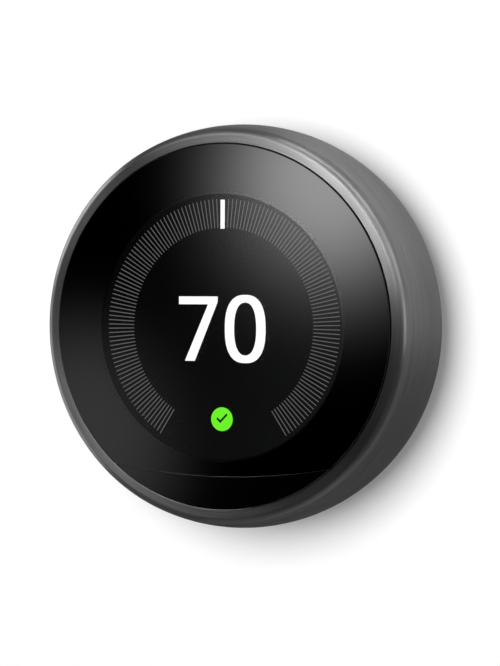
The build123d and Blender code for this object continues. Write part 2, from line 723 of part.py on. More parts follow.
with BuildPart() as head_plug:
    with BuildSketch(out(plug_tip_h)):
        with Locations((0, socket_z)):
            Rectangle(plug_w, plug_h)
    extrude(amount=main_board_h - plug_tip_h)
    with BuildSketch(out(housing_floor_h)):
        with Locations((0, socket_z)):
            Rectangle(plug_w + 2 * PLUG_FLANGE, plug_h + 2 * PLUG_FLANGE)
    extrude(amount=MAIN_STANDOFF)
    with BuildSketch(out(plug_tip_h)):
        with Locations((0, socket_z)):
            with GridLocations(PIN_PITCH, PIN_PITCH, PIN_COLUMNS, PIN_ROWS):
                Circle(PIN_R + PIN_FIT)
    extrude(amount=plug_hole_depth, mode=Mode.SUBTRACT)
head_plug.part.label = "head_plug"
export_step(head_plug.part, "parts/head_plug.step")

with BuildPart() as service_port:
    with BuildSketch(out(recess_floor_h + PORT_SINK)):
        with Locations((0, PORT_Z)):
            Rectangle(PORT_W, PORT_H)
    extrude(amount=main_board_h - recess_floor_h - PORT_SINK)
    with BuildSketch(out(recess_floor_h + PORT_SINK)):
        with Locations((0, PORT_Z)):
            Rectangle(PORT_W - 2 * PORT_WALL, PORT_H - 2 * PORT_WALL)
    extrude(amount=main_board_h - recess_floor_h - PORT_SINK - PORT_WALL, mode=Mode.SUBTRACT)
service_port.part.label = "service_port"
export_step(service_port.part, "parts/service_port.step")

# Push switch: a body with a bore, and the plunger that the front pushes in
switch_top = main_board_top + SWITCH_T
plunger_h = switch_top - PLUNGER_SUNK
with BuildPart() as switch_body:
    with BuildSketch(out(main_board_top)):
        with Locations((0, switch_z)):
            Rectangle(SWITCH_W, SWITCH_W)
    extrude(amount=SWITCH_T)
    with BuildSketch(out(plunger_h - PRESS_TRAVEL - SWITCH_BORE_SPARE)):
        with Locations((0, switch_z)):
            Circle(PLUNGER_R + PLUNGER_FIT)
    extrude(amount=PLUNGER_SUNK + PRESS_TRAVEL + SWITCH_BORE_SPARE, mode=Mode.SUBTRACT)
switch_body.part.label = "switch_body"
export_step(switch_body.part, "parts/switch_body.step")

with BuildPart() as switch_plunger:
    with BuildSketch(out(plunger_h)):
        with Locations((0, switch_z)):
            Circle(PLUNGER_R)
    extrude(amount=PLUNGER_SUNK + PLUNGER_PROUD)
switch_plunger.part.label = "switch_plunger"
export_step(switch_plunger.part, "parts/switch_plunger.step")

# Return springs: flat strips bent into an arch, from the main board up to the chassis lugs
with BuildPart() as return_springs:
    for angle in SPRING_ANGLES:
        x, z = polar(chassis_in_r - SPRING_INSET - SPRING_W, angle)
        outwards_x, outwards_z = polar(1, angle)
        spring_plane = Plane(
            origin=(x, 0, z), x_dir=(-outwards_z, 0, outwards_x), z_dir=(outwards_x, 0, outwards_z))
        half = SPRING_L / 2
        crown = half - SPRING_FOOT
        arch_top = lug_h - SPRING_GAP
        low = spring_plane.to_local_coords(Vector(0, -main_board_top, 0)).Y
        high = spring_plane.to_local_coords(Vector(0, -arch_top, 0)).Y
        step = math.copysign(SPRING_T, high - low)
        with BuildSketch(spring_plane):
            with BuildLine():
                Polyline(
                    (-half, low), (-crown, low), (0, high - step), (crown, low), (half, low),
                    (half, low + step), (crown, low + step), (0, high),
                    (-crown, low + step), (-half, low + step),
                    close=True,
                )
            make_face()
        extrude(amount=SPRING_W)
return_springs.part.label = "return_springs"
export_step(return_springs.part, "parts/return_springs.step")

def sector(inner, outer, middle, spread):
    """Corners of a ring sector, for a polyline: inner arc ends, then outer arc ends."""
    return [
        polar(inner, middle - spread / 2), polar(inner, middle), polar(inner, middle + spread / 2),
        polar(outer, middle + spread / 2), polar(outer, middle), polar(outer, middle - spread / 2),
    ]


# Front chassis: wall, front plate with the display opening, lugs, sensor pocket and ring-sensor window
with BuildPart() as front_chassis:
    with BuildSketch(Plane.XY):
        with BuildLine():
            turned([
                (chassis_in_r, chassis_rear_h), (chassis_out_r, chassis_rear_h), (chassis_out_r, clip_ring_h),
                (chassis_out_r - CLIP_RING_BITE, clip_ring_h),
                (chassis_out_r - CLIP_RING_BITE, clip_ring_h + CLIP_RING_T + 2 * CLIP_RING_FIT),
                (chassis_out_r, clip_ring_h + CLIP_RING_T + 2 * CLIP_RING_FIT),
                (chassis_out_r, face_back_h), (chassis_flange_r, face_back_h), (chassis_flange_r, flange_top),
                (face_r, flange_top), (face_r, face_h),
                (face_opening_r, face_h), (face_opening_r, face_back_h),
                (chassis_in_r, face_back_h),
            ])
        make_face()
    revolve(axis=Axis.Y)
    for angle in GUIDE_ANGLES + SPRING_ANGLES:
        x, z = polar(chassis_in_r + LUG_ROOT, angle)
        with BuildSketch(out(lug_h)):
            with Locations(Location((x, z), angle)):
                Rectangle(LUG_L + LUG_ROOT, LUG_W, align=(Align.MAX, Align.CENTER))
        extrude(amount=LUG_T)
    with BuildSketch(out(lug_h)):
        with Locations(*guide_places):
            Circle(GUIDE_R + SCREW_FIT)
    extrude(amount=GUIDE_BITE + GUIDE_TIP_SPARE, mode=Mode.SUBTRACT)
    with BuildSketch(out(face_back_h)):
        with Locations(*ear_places):
            Circle(EAR_SCREW_R + SCREW_FIT)
    extrude(amount=EAR_SCREW_BITE + SEAT_FIT, mode=Mode.SUBTRACT)
    with BuildSketch(out(pocket_floor)):
        with BuildLine():
            a, b, c, d, e, f = sector(pocket_in_r, pocket_out_r, LOWEST_ANGLE, SENSOR_POCKET_ANGLE)
            ThreePointArc(a, b, c)
            Line(c, d)
            ThreePointArc(d, e, f)
            Line(f, a)
        make_face()
    extrude(amount=SENSOR_POCKET_D, mode=Mode.SUBTRACT)
    with BuildSketch(out(sensor_mid_h - SENSOR_HEAD_H / 2 - SEAT_FIT)):
        with Locations((-chassis_in_r, 0)):
            Rectangle(2 * CHASSIS_WALL + 2 * LUG_ROOT, SENSOR_HEAD_W + 2 * SEAT_FIT)
    extrude(amount=SENSOR_HEAD_H + 2 * SEAT_FIT, mode=Mode.SUBTRACT)
front_chassis.part.label = "front_chassis"
export_step(front_chassis.part, "parts/front_chassis.step")

# Glide rings that the turning ring runs on
glide_starts = (carrier_h + GLIDE_END_GAP, carrier_top - GLIDE_END_GAP - GLIDE_W)
with BuildPart() as glide_rings:
    for start in glide_starts:
        with BuildSketch(out(start)):
            Circle(glide_out_r)
            Circle(chassis_out_r + BOND_GAP, mode=Mode.SUBTRACT)
        extrude(amount=GLIDE_W)
glide_rings.part.label = "glide_rings"
export_step(glide_rings.part, "parts/glide_rings.step")

# Open spring ring in the chassis groove, which keeps the carrier on
with BuildPart() as retaining_ring:
    with BuildSketch(out(clip_ring_h + CLIP_RING_FIT)):
        with BuildLine():
            groove_r = chassis_out_r - CLIP_RING_BITE + CLIP_RING_FIT
            a, b, c, d, e, f = sector(
                groove_r, groove_r + CLIP_RING_W, HIGHEST_ANGLE, FULL_TURN - CLIP_RING_OPEN)
            ThreePointArc(a, b, c)
            Line(c, d)
            ThreePointArc(d, e, f)
            Line(f, a)
        make_face()
    extrude(amount=CLIP_RING_T)
retaining_ring.part.label = "retaining_ring"
export_step(retaining_ring.part, "parts/retaining_ring.step")

# Optical sensor in the chassis wall, which reads the band inside the ring
with BuildPart() as ring_sensor:
    encoder_in_r = carrier_in_r - BOND_GAP - ENCODER_T
    with BuildSketch(out(sensor_mid_h - SENSOR_HEAD_H / 2)):
        with Locations((-(encoder_in_r - SENSOR_READ_GAP), 0)):
            Rectangle(
                encoder_in_r - SENSOR_READ_GAP - chassis_in_r + SENSOR_HEAD_IN, SENSOR_HEAD_W,
                align=(Align.MIN, Align.CENTER),
            )
    extrude(amount=SENSOR_HEAD_H)
ring_sensor.part.label = "ring_sensor"
export_step(ring_sensor.part, "parts/ring_sensor.step")

# Shoulder screws that guide the front in the rear housing
with BuildPart() as guide_screws:
    guide_seat_h = recess_floor_h + GUIDE_SEAT_H - GUIDE_HEAD_GAP
    with BuildSketch(out(guide_seat_h - GUIDE_HEAD_T)):
        with Locations(*guide_places):
            Circle(GUIDE_HEAD_R)
    extrude(amount=GUIDE_HEAD_T)
    with BuildSketch(out(guide_seat_h)):
        with Locations(*guide_places):
            Circle(GUIDE_R)
    extrude(amount=lug_h + GUIDE_BITE - guide_seat_h)
guide_screws.part.label = "guide_screws"
export_step(guide_screws.part, "parts/guide_screws.step")

# Display stack: bracket tray with ears and the post that works the switch, backlight, panel
with BuildPart() as display_bracket:
    with BuildSketch(out(bracket_h)):
        Circle(bracket_r)
        with Locations((ribbon_x, ribbon_top_z)):
            Rectangle(RIBBON_W + 2 * RIBBON_SLOT_FIT, RIBBON_T + 2 * RIBBON_SLOT_FIT, mode=Mode.SUBTRACT)
    extrude(amount=BRACKET_T)
    with BuildSketch(out(backlight_h)):
        Circle(bracket_r)
        Circle(bracket_r - BRACKET_WALL, mode=Mode.SUBTRACT)
    extrude(amount=BRACKET_WALL_H)
    with BuildSketch(out(face_back_h - BRACKET_T)):
        for angle in GUIDE_ANGLES:
            x, z = polar(chassis_in_r - EAR_END_GAP, angle)
            with Locations(Location((x, z), angle)):
                Rectangle(EAR_L + BRACKET_WALL, EAR_W, align=(Align.MAX, Align.CENTER))
        Circle(bracket_r - BRACKET_WALL, mode=Mode.SUBTRACT)
        with Locations(*ear_places):
            Circle(EAR_SCREW_R + SCREW_FIT, mode=Mode.SUBTRACT)
    extrude(amount=BRACKET_T)
    with BuildSketch(out(actuator_end)):
        with Locations((0, switch_z)):
            Circle(ACTUATOR_R)
    extrude(amount=bracket_h - actuator_end)
display_bracket.part.label = "display_bracket"
export_step(display_bracket.part, "parts/display_bracket.step")

with BuildPart() as bracket_screws:
    with BuildSketch(out(face_back_h - BRACKET_T - EAR_SCREW_HEAD_T)):
        with Locations(*ear_places):
            Circle(EAR_SCREW_HEAD_R)
    extrude(amount=EAR_SCREW_HEAD_T)
    with BuildSketch(out(face_back_h - BRACKET_T)):
        with Locations(*ear_places):
            Circle(EAR_SCREW_R)
    extrude(amount=BRACKET_T + EAR_SCREW_BITE)
bracket_screws.part.label = "bracket_screws"
export_step(bracket_screws.part, "parts/bracket_screws.step")

with BuildPart() as display_backlight:
    with BuildSketch(out(backlight_h)):
        Circle(display_r)
    extrude(amount=BACKLIGHT_T)
display_backlight.part.label = "display_backlight"
export_step(display_backlight.part, "parts/display_backlight.step")

with BuildPart() as display_panel:
    with BuildSketch(out(display_h)):
        Circle(display_r)
    extrude(amount=DISPLAY_T)
display_panel.part.label = "display_panel"
export_step(display_panel.part, "parts/display_panel.step")

# Flat cable from the backlight through the bracket's slot to its socket on the main board
with BuildPart() as display_ribbon:
    ribbon_end = main_board_top + RIBBON_SOCKET_T + RIBBON_PLUG_GAP
    bend_h = (ribbon_end + bracket_h) / 2
    half = RIBBON_T / 2
    with BuildSketch(Plane.YZ.offset(ribbon_x - RIBBON_W / 2)):
        with BuildLine():
            Polyline(
                (-ribbon_end, upper_z - half), (-bend_h, upper_z - half), (-bend_h, ribbon_top_z - half),
                (-backlight_h, ribbon_top_z - half), (-backlight_h, ribbon_top_z + half),
                (-bend_h - RIBBON_T, ribbon_top_z + half), (-bend_h - RIBBON_T, upper_z + half),
                (-ribbon_end, upper_z + half), close=True,
            )
        make_face()
    extrude(amount=RIBBON_W)
display_ribbon.part.label = "display_ribbon"
export_step(display_ribbon.part, "parts/display_ribbon.step")

# Sensors behind the sensor window, on a small board in the chassis pocket
with BuildPart() as sensor_board:
    with BuildSketch(out(pocket_floor)):
        with BuildLine():
            spare = math.degrees(2 * SEAT_FIT / pocket_in_r)
            a, b, c, d, e, f = sector(
                pocket_in_r + SEAT_FIT, pocket_out_r - SEAT_FIT, LOWEST_ANGLE, SENSOR_POCKET_ANGLE - spare)
            ThreePointArc(a, b, c)
            Line(c, d)
            ThreePointArc(d, e, f)
            Line(f, a)
        make_face()
    extrude(amount=SENSOR_BOARD_T)
sensor_board.part.label = "sensor_board"
export_step(sensor_board.part, "parts/sensor_board.step")

with BuildPart() as motion_sensors:
    with BuildSketch(out(pocket_floor + SENSOR_BOARD_T)):
        with Locations(*[polar((pocket_in_r + pocket_out_r) / 2, angle) for angle in SENSOR_ANGLES]):
            Rectangle(SENSOR_W, SENSOR_W)
    extrude(amount=SENSOR_T)
motion_sensors.part.label = "motion_sensors"
export_step(motion_sensors.part, "parts/motion_sensors.step")

# Printed border behind the lens, cut off along the sensor window's seam
with BuildPart() as lens_mask:
    with BuildSketch(out(face_h)):
        Circle(lens_r - MASK_EDGE)
        Circle(mask_in_r, mode=Mode.SUBTRACT)
        with Locations((0, seam_centre_z)):
            Circle(SEAM_R, mode=Mode.INTERSECT)
    extrude(amount=MASK_T)
lens_mask.part.label = "lens_mask"
export_step(lens_mask.part, "parts/lens_mask.step")


# The dome's sphere, and where the dome meets the rounded edge
dome_r = (lens_r ** 2 + LENS_CROWN ** 2) / (2 * LENS_CROWN)
dome_top_h = lens_edge_h + LENS_CROWN
dome_end_r = lens_r - LENS_EDGE_ROUND
edge_round_h = lens_edge_h - LENS_EDGE_ROUND


def dome_height(radius):
    """Height of the dome's surface at a distance from its middle."""
    return dome_top_h - dome_r + math.sqrt(dome_r ** 2 - radius ** 2)


# Domed lens above the seam, and the sensor window below it
edge_slant = LENS_EDGE_ROUND * math.sqrt(0.5)
for window_name, keep_mode, seam_offset in (
    ("front_lens", Mode.INTERSECT, -SEAM_W / 2),
    ("sensor_window", Mode.SUBTRACT, SEAM_W / 2),
):
    with BuildPart() as window:
        with BuildSketch(Plane.XY):
            with BuildLine():
                Line((0, -lens_back_h), (0, -dome_top_h))
                ThreePointArc(
                    (0, -dome_top_h), (dome_end_r / 2, -dome_height(dome_end_r / 2)),
                    (dome_end_r, -dome_height(dome_end_r)),
                )
                ThreePointArc(
                    (dome_end_r, -dome_height(dome_end_r)),
                    (dome_end_r + edge_slant, -edge_round_h - edge_slant),
                    (lens_r, -edge_round_h),
                )
                Polyline((lens_r, -edge_round_h), (lens_r, -lens_back_h), (0, -lens_back_h))
            make_face()
        revolve(axis=Axis.Y)
        with BuildSketch(out(lens_back_h)):
            with Locations((0, seam_centre_z)):
                Circle(SEAM_R + seam_offset)
        extrude(amount=lens_edge_h + LENS_CROWN - lens_back_h, mode=keep_mode)
    window.part.label = window_name
    export_step(window.part, f"parts/{window_name}.step")

# Turning ring: steel shell with a barrel-shaped side, a rounded shoulder and a front lip
with BuildPart() as ring_shell:
    with BuildSketch(Plane.XY):
        with BuildLine():
            rear_corner = (ring_rear_r, -ring_rear_h)
            widest = (ring_widest_r, -(lens_edge_h - WIDEST_D))
            front_corner = (ring_front_r, -(lens_edge_h - SHOULDER_D))
            ridge = (ridge_r, -ridge_h)
            side_wall = ThreePointArc(rear_corner, widest, front_corner)
            TangentArc(front_corner, ridge, tangent=side_wall % 1)
            Polyline(
                ridge, (lip_in_r, -(ridge_h + LIP_RISE)), (lip_in_r, -lip_back_h), (ring_bore_r, -lip_back_h),
                (ring_bore_r, -ring_rear_h), rear_corner,
            )
        make_face()
    revolve(axis=Axis.Y)
    sharp = ring_shell.edges().filter_by(GeomType.CIRCLE).filter_by(
        lambda e: abs(e.radius - ridge_r) < SEAT_FIT or abs(e.radius - ring_rear_r) < SEAT_FIT)
    fillet(sharp, RING_EDGE)
ring_shell.part.label = "ring_shell"
export_step(ring_shell.part, "parts/ring_shell.step")

with BuildPart() as ring_carrier:
    with BuildSketch(out(carrier_h)):
        Circle(carrier_out_r)
        Circle(carrier_in_r, mode=Mode.SUBTRACT)
    extrude(amount=carrier_top - carrier_h)
ring_carrier.part.label = "ring_carrier"
export_step(ring_carrier.part, "parts/ring_carrier.step")

with BuildPart() as encoder_band:
    with BuildSketch(out(encoder_h)):
        Circle(carrier_in_r - BOND_GAP)
        Circle(carrier_in_r - BOND_GAP - ENCODER_T, mode=Mode.SUBTRACT)
    extrude(amount=ENCODER_W)
encoder_band.part.label = "encoder_band"
export_step(encoder_band.part, "parts/encoder_band.step")
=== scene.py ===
# %% [markdown]
# # A round wall thermostat, dressed for its picture
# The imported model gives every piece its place. This lesson adds what a plain solid lacks: a finely turned
# steel ring, a clear domed lens over a lit display, and a finish for each material. Sizes are written in
# millimetres, as on the drawing, and scaled to metres in one place.

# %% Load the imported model
import json
import math

import bmesh
import bpy
import numpy as np
from mathutils import Matrix, Vector


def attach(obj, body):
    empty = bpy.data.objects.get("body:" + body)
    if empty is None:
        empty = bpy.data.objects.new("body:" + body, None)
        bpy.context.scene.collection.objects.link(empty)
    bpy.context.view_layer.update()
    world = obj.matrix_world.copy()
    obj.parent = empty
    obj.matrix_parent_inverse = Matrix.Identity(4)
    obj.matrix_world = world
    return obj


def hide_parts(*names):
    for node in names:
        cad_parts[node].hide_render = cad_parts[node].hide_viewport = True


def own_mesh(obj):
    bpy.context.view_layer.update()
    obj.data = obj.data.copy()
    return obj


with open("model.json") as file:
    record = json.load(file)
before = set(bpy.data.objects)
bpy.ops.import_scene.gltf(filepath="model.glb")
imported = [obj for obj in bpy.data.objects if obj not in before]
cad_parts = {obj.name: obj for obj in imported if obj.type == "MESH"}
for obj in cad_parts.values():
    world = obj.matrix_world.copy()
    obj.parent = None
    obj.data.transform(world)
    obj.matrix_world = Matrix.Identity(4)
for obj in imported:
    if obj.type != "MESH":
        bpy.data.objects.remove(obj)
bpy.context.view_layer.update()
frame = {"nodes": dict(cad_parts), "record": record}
MM = 0.001

# %% [markdown]
# ## The camera
# The photograph was taken from about 25 degrees to the right and almost level. A camera can be moved by
# eye until the picture fits, but a round face shows its tilt and distance in its ellipse. So the place
# and the focal length follow from two ellipses, the lens's rim and the screen's edge, and the place is
# given from the middle of the lens.

# %% Place the camera
LENS_FACE = 30.0                       # the lens's edge, out from the wall
CAMERA_FROM_LENS = np.array((301.18, -630.04, 11.96))
CAMERA_TURN = math.radians(25.053)
CAMERA_LIFT = math.radians(1.083)
FOCAL = 183.63


def camera_axes(turn, lift):
    """Right, up and back: back points from the object to the camera, right lies level, up completes them."""
    back = np.array((math.sin(turn) * math.cos(lift), -math.cos(turn) * math.cos(lift), math.sin(lift)))
    right = np.array((math.cos(turn), math.sin(turn), 0.0))
    return right, np.cross(back, right), back


right, up, back = camera_axes(CAMERA_TURN, CAMERA_LIFT)
camera_data = bpy.data.cameras.new("photo_camera")
camera_data.lens = FOCAL
camera_data.sensor_width = 36.0
camera_data.clip_start = 0.01
camera = bpy.data.objects.new("photo_camera", camera_data)
bpy.context.scene.collection.objects.link(camera)
place = Matrix.Identity(4)
for column, axis in enumerate((right, up, back)):
    for row in range(3):
        place[row][column] = axis[row]
camera_place = (np.array((0.0, -LENS_FACE, 0.0)) + CAMERA_FROM_LENS) * MM
place.translation = Vector(camera_place)
camera.matrix_world = place
bpy.context.scene.camera = camera
bpy.context.scene.view_settings.view_transform = "Standard"
print("camera at", [round(float(c), 4) for c in camera_place])

# %% [markdown]
# ## Surfaces from arrays
# Nearly every visible form here is round. A Screw modifier could turn each section, but the brushed grain
# needs a map that follows the surface, so the points are worked out as arrays and made into meshes. Each
# mesh then takes the same few steps: points that coincide are merged, as at a pole, faces without area
# go, and the piece is tied to its body.

# %% Helpers that put a mesh into the scene
WELD = 1e-8                            # metres: points closer than this are one point


def weld(mesh, gap, drop_slivers=False, turn_out=False):
    """Merge points closer than gap; if asked, drop faces without area and turn all faces outwards."""
    work = bmesh.new()
    work.from_mesh(mesh)
    bmesh.ops.remove_doubles(work, verts=work.verts, dist=gap)
    if drop_slivers:
        bmesh.ops.dissolve_degenerate(work, edges=work.edges, dist=gap / 10)
    if turn_out:
        bmesh.ops.recalc_face_normals(work, faces=work.faces)
    work.to_mesh(mesh)
    work.free()


def place_piece(name, mesh, body):
    """A finished mesh becomes a piece that rides on a body."""
    piece = bpy.data.objects.new(name, mesh)
    bpy.context.scene.collection.objects.link(piece)
    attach(piece, body)
    return piece


def smooth_piece(name, mesh, body, sharp):
    """Close the poles, shade smooth but for edges past the sharp angle in degrees, and place the piece."""
    weld(mesh, WELD, drop_slivers=True)
    mesh.polygons.foreach_set("use_smooth", np.ones(len(mesh.polygons), dtype=bool))
    mesh.set_sharp_from_angle(angle=math.radians(sharp))
    mesh.validate()
    return place_piece(name, mesh, body)


print("points closer than", WELD / MM, "mm are merged")

# %% [markdown]
# One helper turns a grid of points into a mesh. The grid has rows along a section and columns round the
# axis. Each face takes four neighbouring points. The columns close on themselves, and the rows may too.
# The signed volume inside the faces shows which way they look.

# %% Helpers for turned surfaces
RING_MAP = "along_and_across"


def volume_inside(points, quads):
    """Six times the signed volume inside the faces, by two triangles each: positive if they look outwards."""
    a, b, c, d = (points[quads[:, k]] for k in range(4))
    return (np.cross(a, b) * c).sum() + (np.cross(a, c) * d).sum()


def grid_piece(name, points, close_rows, body, sharp, uv=None):
    """Mesh from points[row, column]: faces join (r, c), (r, c+1), (r+1, c+1), (r+1, c), and columns close."""
    rows, columns = points.shape[:2]
    index = np.arange(rows * columns).reshape(rows, columns)
    low = index if close_rows else index[:-1]
    high = np.roll(index, -1, axis=0) if close_rows else index[1:]
    quads = np.stack((low, np.roll(low, -1, 1), np.roll(high, -1, 1), high), -1).reshape(-1, 4)
    flat = (points.reshape(-1, 3) * MM).astype(np.float32)
    order = np.arange(4) if volume_inside(flat.astype(float), quads) > 0 else np.array((0, 3, 2, 1))
    quads = quads[:, order]
    mesh = bpy.data.meshes.new(name)
    mesh.vertices.add(len(flat))
    mesh.vertices.foreach_set("co", flat.ravel())
    mesh.loops.add(quads.size)
    mesh.loops.foreach_set("vertex_index", quads.ravel().astype(np.int32))
    mesh.polygons.add(len(quads))
    mesh.polygons.foreach_set("loop_start", np.arange(0, quads.size, 4, dtype=np.int32))
    mesh.update(calc_edges=True)
    if uv is not None:
        corner_u = np.stack((uv[0][:-1], uv[0][1:], uv[0][1:], uv[0][:-1]), -1)
        corner_v = np.stack((uv[1][:-1], uv[1][:-1], uv[1][1:], uv[1][1:]), -1)
        grid_u = np.broadcast_to(corner_u[None], (len(corner_v), len(corner_u), 4))
        grid_v = np.broadcast_to(corner_v[:, None], (len(corner_v), len(corner_u), 4))
        layer = mesh.uv_layers.new(name=RING_MAP)
        both = np.stack((grid_u, grid_v), -1).reshape(-1, 4, 2)[:, order]
        layer.data.foreach_set("uv", both.astype(np.float32).ravel())
    return smooth_piece(name, mesh, body, sharp)


def turned(profile, columns):
    """Each (radius, height) of the section swept round the axis: x = r cos t, z = r sin t, y = -height."""
    angle = np.linspace(0.0, 2.0 * np.pi, columns, endpoint=False)
    radius, height = profile[:, :1], profile[:, 1:]
    return np.stack((radius * np.cos(angle), -height + 0.0 * angle, radius * np.sin(angle)), -1)


def arc_points(centre, radius, start, end, count):
    """Points on a circle from angle start to angle end, in radians, both ends included."""
    t = np.linspace(start, end, count)
    return np.stack((centre[0] + radius * np.cos(t), centre[1] + radius * np.sin(t)), -1)


def circle_through(a, b, c):
    """Middle and radius of the circle through three points, from the two bisectors' linear equations."""
    m = 2.0 * np.array((b - a, c - a))
    middle = np.linalg.solve(m, np.array((b @ b - a @ a, c @ c - a @ a)))
    return middle, np.linalg.norm(a - middle)


unit_corners = np.array(((1.0, 0.0), (0.0, 1.0), (-1.0, 0.0)))
print("circle through three unit points:", circle_through(*unit_corners))

# %% [markdown]
# ## The steel ring
# The real ring is a turned steel band: a softly barrelled side, a rounded shoulder, and a narrow flat lip
# round the lens. A cylinder with bevels would come close, but a long highlight shows every break in a
# curve. So the section is worked out from the same radii and heights as the solid: one arc through the
# rear edge, the widest line and the front corner, then an arc that leaves it in line and ends at the
# ridge, then the lip. The edges get small rounds so that they catch light.

# %% Section of the ring
RING_REAR = np.array((40.64, 9.08))
RING_WIDEST = np.array((42.0, 19.57))
RING_CORNER = np.array((40.83, 28.18))
RING_RIDGE = np.array((39.45, 29.5))
LIP_INNER = np.array((37.85, 29.66))
LIP_BACK = 28.35
RING_BORE = 39.4
EDGE_ROUND = 0.25
LIP_ROUND = 0.12


def arc_leaving(start, direction, end, count):
    """Arc that leaves start along direction and ends at end: its middle lies square to the direction."""
    normal = np.array((-direction[1], direction[0]))
    chord = end - start
    reach = (chord @ chord) / (2.0 * (normal @ chord))
    middle = start + normal * reach
    first = math.atan2(*(start - middle)[::-1])
    last = math.atan2(*(end - middle)[::-1])
    return arc_points(middle, abs(reach), first, last, count)


def rounded(corner, before, after, size, count=7):
    """Round of a corner: a curve from size along one side to size along the other, pulled to the corner."""
    towards = (before - corner) / np.linalg.norm(before - corner)
    away = (after - corner) / np.linalg.norm(after - corner)
    t = np.linspace(0.0, 1.0, count)[:, None]
    a, b = corner + towards * size, corner + away * size
    return (1 - t) ** 2 * a + 2 * t * (1 - t) * corner + t ** 2 * b


def ring_section():
    """The closed section, from the rear edge up the outside, over the ridge and lip, and down the bore."""
    middle, radius = circle_through(RING_REAR, RING_WIDEST, RING_CORNER)
    first = math.atan2(*(RING_REAR - middle)[::-1])
    last = math.atan2(*(RING_CORNER - middle)[::-1])
    side = arc_points(middle, radius, first, last, 40)
    leave = np.array((-math.sin(last), math.cos(last)))
    shoulder = arc_leaving(RING_CORNER, leave, RING_RIDGE, 26)
    lip = np.linspace(RING_RIDGE, LIP_INNER, 9)
    inner = np.array((LIP_INNER[0], LIP_BACK))
    bore_top = np.array((RING_BORE, LIP_BACK))
    bore_rear = np.array((RING_BORE, RING_REAR[1]))
    rear_round = rounded(RING_REAR, bore_rear, side[2], EDGE_ROUND)
    ridge_round = rounded(RING_RIDGE, shoulder[-4], lip[2], EDGE_ROUND)
    inner_round = rounded(LIP_INNER, lip[-2], inner, LIP_ROUND)
    run = [rear_round, side[2:], shoulder[1:-4], ridge_round, lip[3:-1], inner_round]
    run += [inner[None], bore_top[None], bore_rear[None]]
    return np.concatenate(run)


section = ring_section()
print("ring section points:", len(section))

# %% [markdown]
# The section is turned round the axis. The ring also gets a map of its own: one direction runs once round
# it, and the other is the distance in millimetres along the section. The brushed grain reads this map
# later.

# %% Turned ring
RING_COLUMNS = 720
ring_points = turned(section, RING_COLUMNS)
steps = np.linalg.norm(np.diff(np.vstack((section, section[:1])), axis=0), axis=1)
across = np.concatenate(([0.0], np.cumsum(steps)))
around = np.linspace(0.0, 1.0, RING_COLUMNS + 1)
ring = grid_piece("ring_skin", ring_points, True, "ring", 35.0, (around, across))
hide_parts("ring_shell")
print("ring faces:", len(ring.data.polygons))

# %% [markdown]
# ## The lens and the sensor window
# The front is one shallow dome in two pieces: the clear lens, and below a curved seam a dark window for
# the sensors. A boolean could cut a dome in two, but it leaves uneven faces that show in a mirror-like
# shine. Both pieces use one rule for the seam instead: it is part of a large circle whose middle lies
# high above. Along any direction from the middle the lens ends at its rim or at that circle, whichever
# comes first.

# %% Lens outline and dome
LENS_R = 37.7
LENS_ROUND = 0.08
SEAM_ROUND = 0.02                      # the seam is a sharp, polished joint
LENS_BACK = 28.8
DOME_APEX = 30.7
SEAM_R = 138.0
SEAM_MIDDLE = 107.15                   # height of the seam circle's middle above the axis
SEAM_GAP = 0.12
CORNER_BLEND = 0.06                    # how soon the seam's round grows to the rim's, in sines
GLASS_LIFT = 0.015                     # keeps the glass's back off the mask
LAST_ROWS = (0.985, 0.994, 0.998, 1.0)  # close rows, so that the dome's shine runs out to its edge
DOME_R = ((LENS_R - LENS_ROUND) ** 2 + (DOME_APEX - LENS_FACE) ** 2) / (2 * (DOME_APEX - LENS_FACE))


def dome(radius):
    """Height of the dome: the apex less the sag of a sphere at that radius."""
    return DOME_APEX - DOME_R + np.sqrt(DOME_R ** 2 - radius ** 2)


def lens_reach(angle, inset):
    """Distance from the axis to the lens's edge, drawn in by inset: the rim or the seam, the nearer one."""
    seam = SEAM_R - SEAM_GAP / 2 - inset
    to_seam = SEAM_MIDDLE * np.sin(angle) + np.sqrt(seam ** 2 - (SEAM_MIDDLE * np.cos(angle)) ** 2)
    return np.minimum(LENS_R - inset, to_seam)


def seam_corner(rim, seam):
    """Angle below the horizon where the rim's circle meets the seam's circle, by the cosine rule."""
    return math.asin((rim ** 2 + SEAM_MIDDLE ** 2 - seam ** 2) / (2 * rim * SEAM_MIDDLE))


corner = seam_corner(LENS_R, SEAM_R - SEAM_GAP / 2)
rim_angles = np.linspace(corner, math.pi - corner, 520, endpoint=False)
seam_angles = np.linspace(math.pi - corner, 2 * math.pi + corner, 160, endpoint=False)
lens_angles = np.concatenate((rim_angles, seam_angles))
past_corner = (np.sin(lens_angles) - math.sin(corner)) / CORNER_BLEND
edge_rounds = SEAM_ROUND + (LENS_ROUND - SEAM_ROUND) * np.clip(past_corner, 0.0, 1.0)
print("dome radius:", round(DOME_R, 1), "mm, seam corner:", round(math.degrees(corner), 2), "degrees")

# %% [markdown]
# The lens is built in rows: from the apex out over the dome, round the edge, down the side, and back in
# to the axis along the flat rear. Shading is averaged between neighbouring faces, so a wide last row
# would darken the dome near its edge. The last rows therefore lie close together.

# %% Lens
DOME_ROWS = np.linspace(0.0, 0.96, 24) ** 0.8
BACK_ROWS = (0.97, 0.9, 0.75, 0.5, 0.25, 0.0)


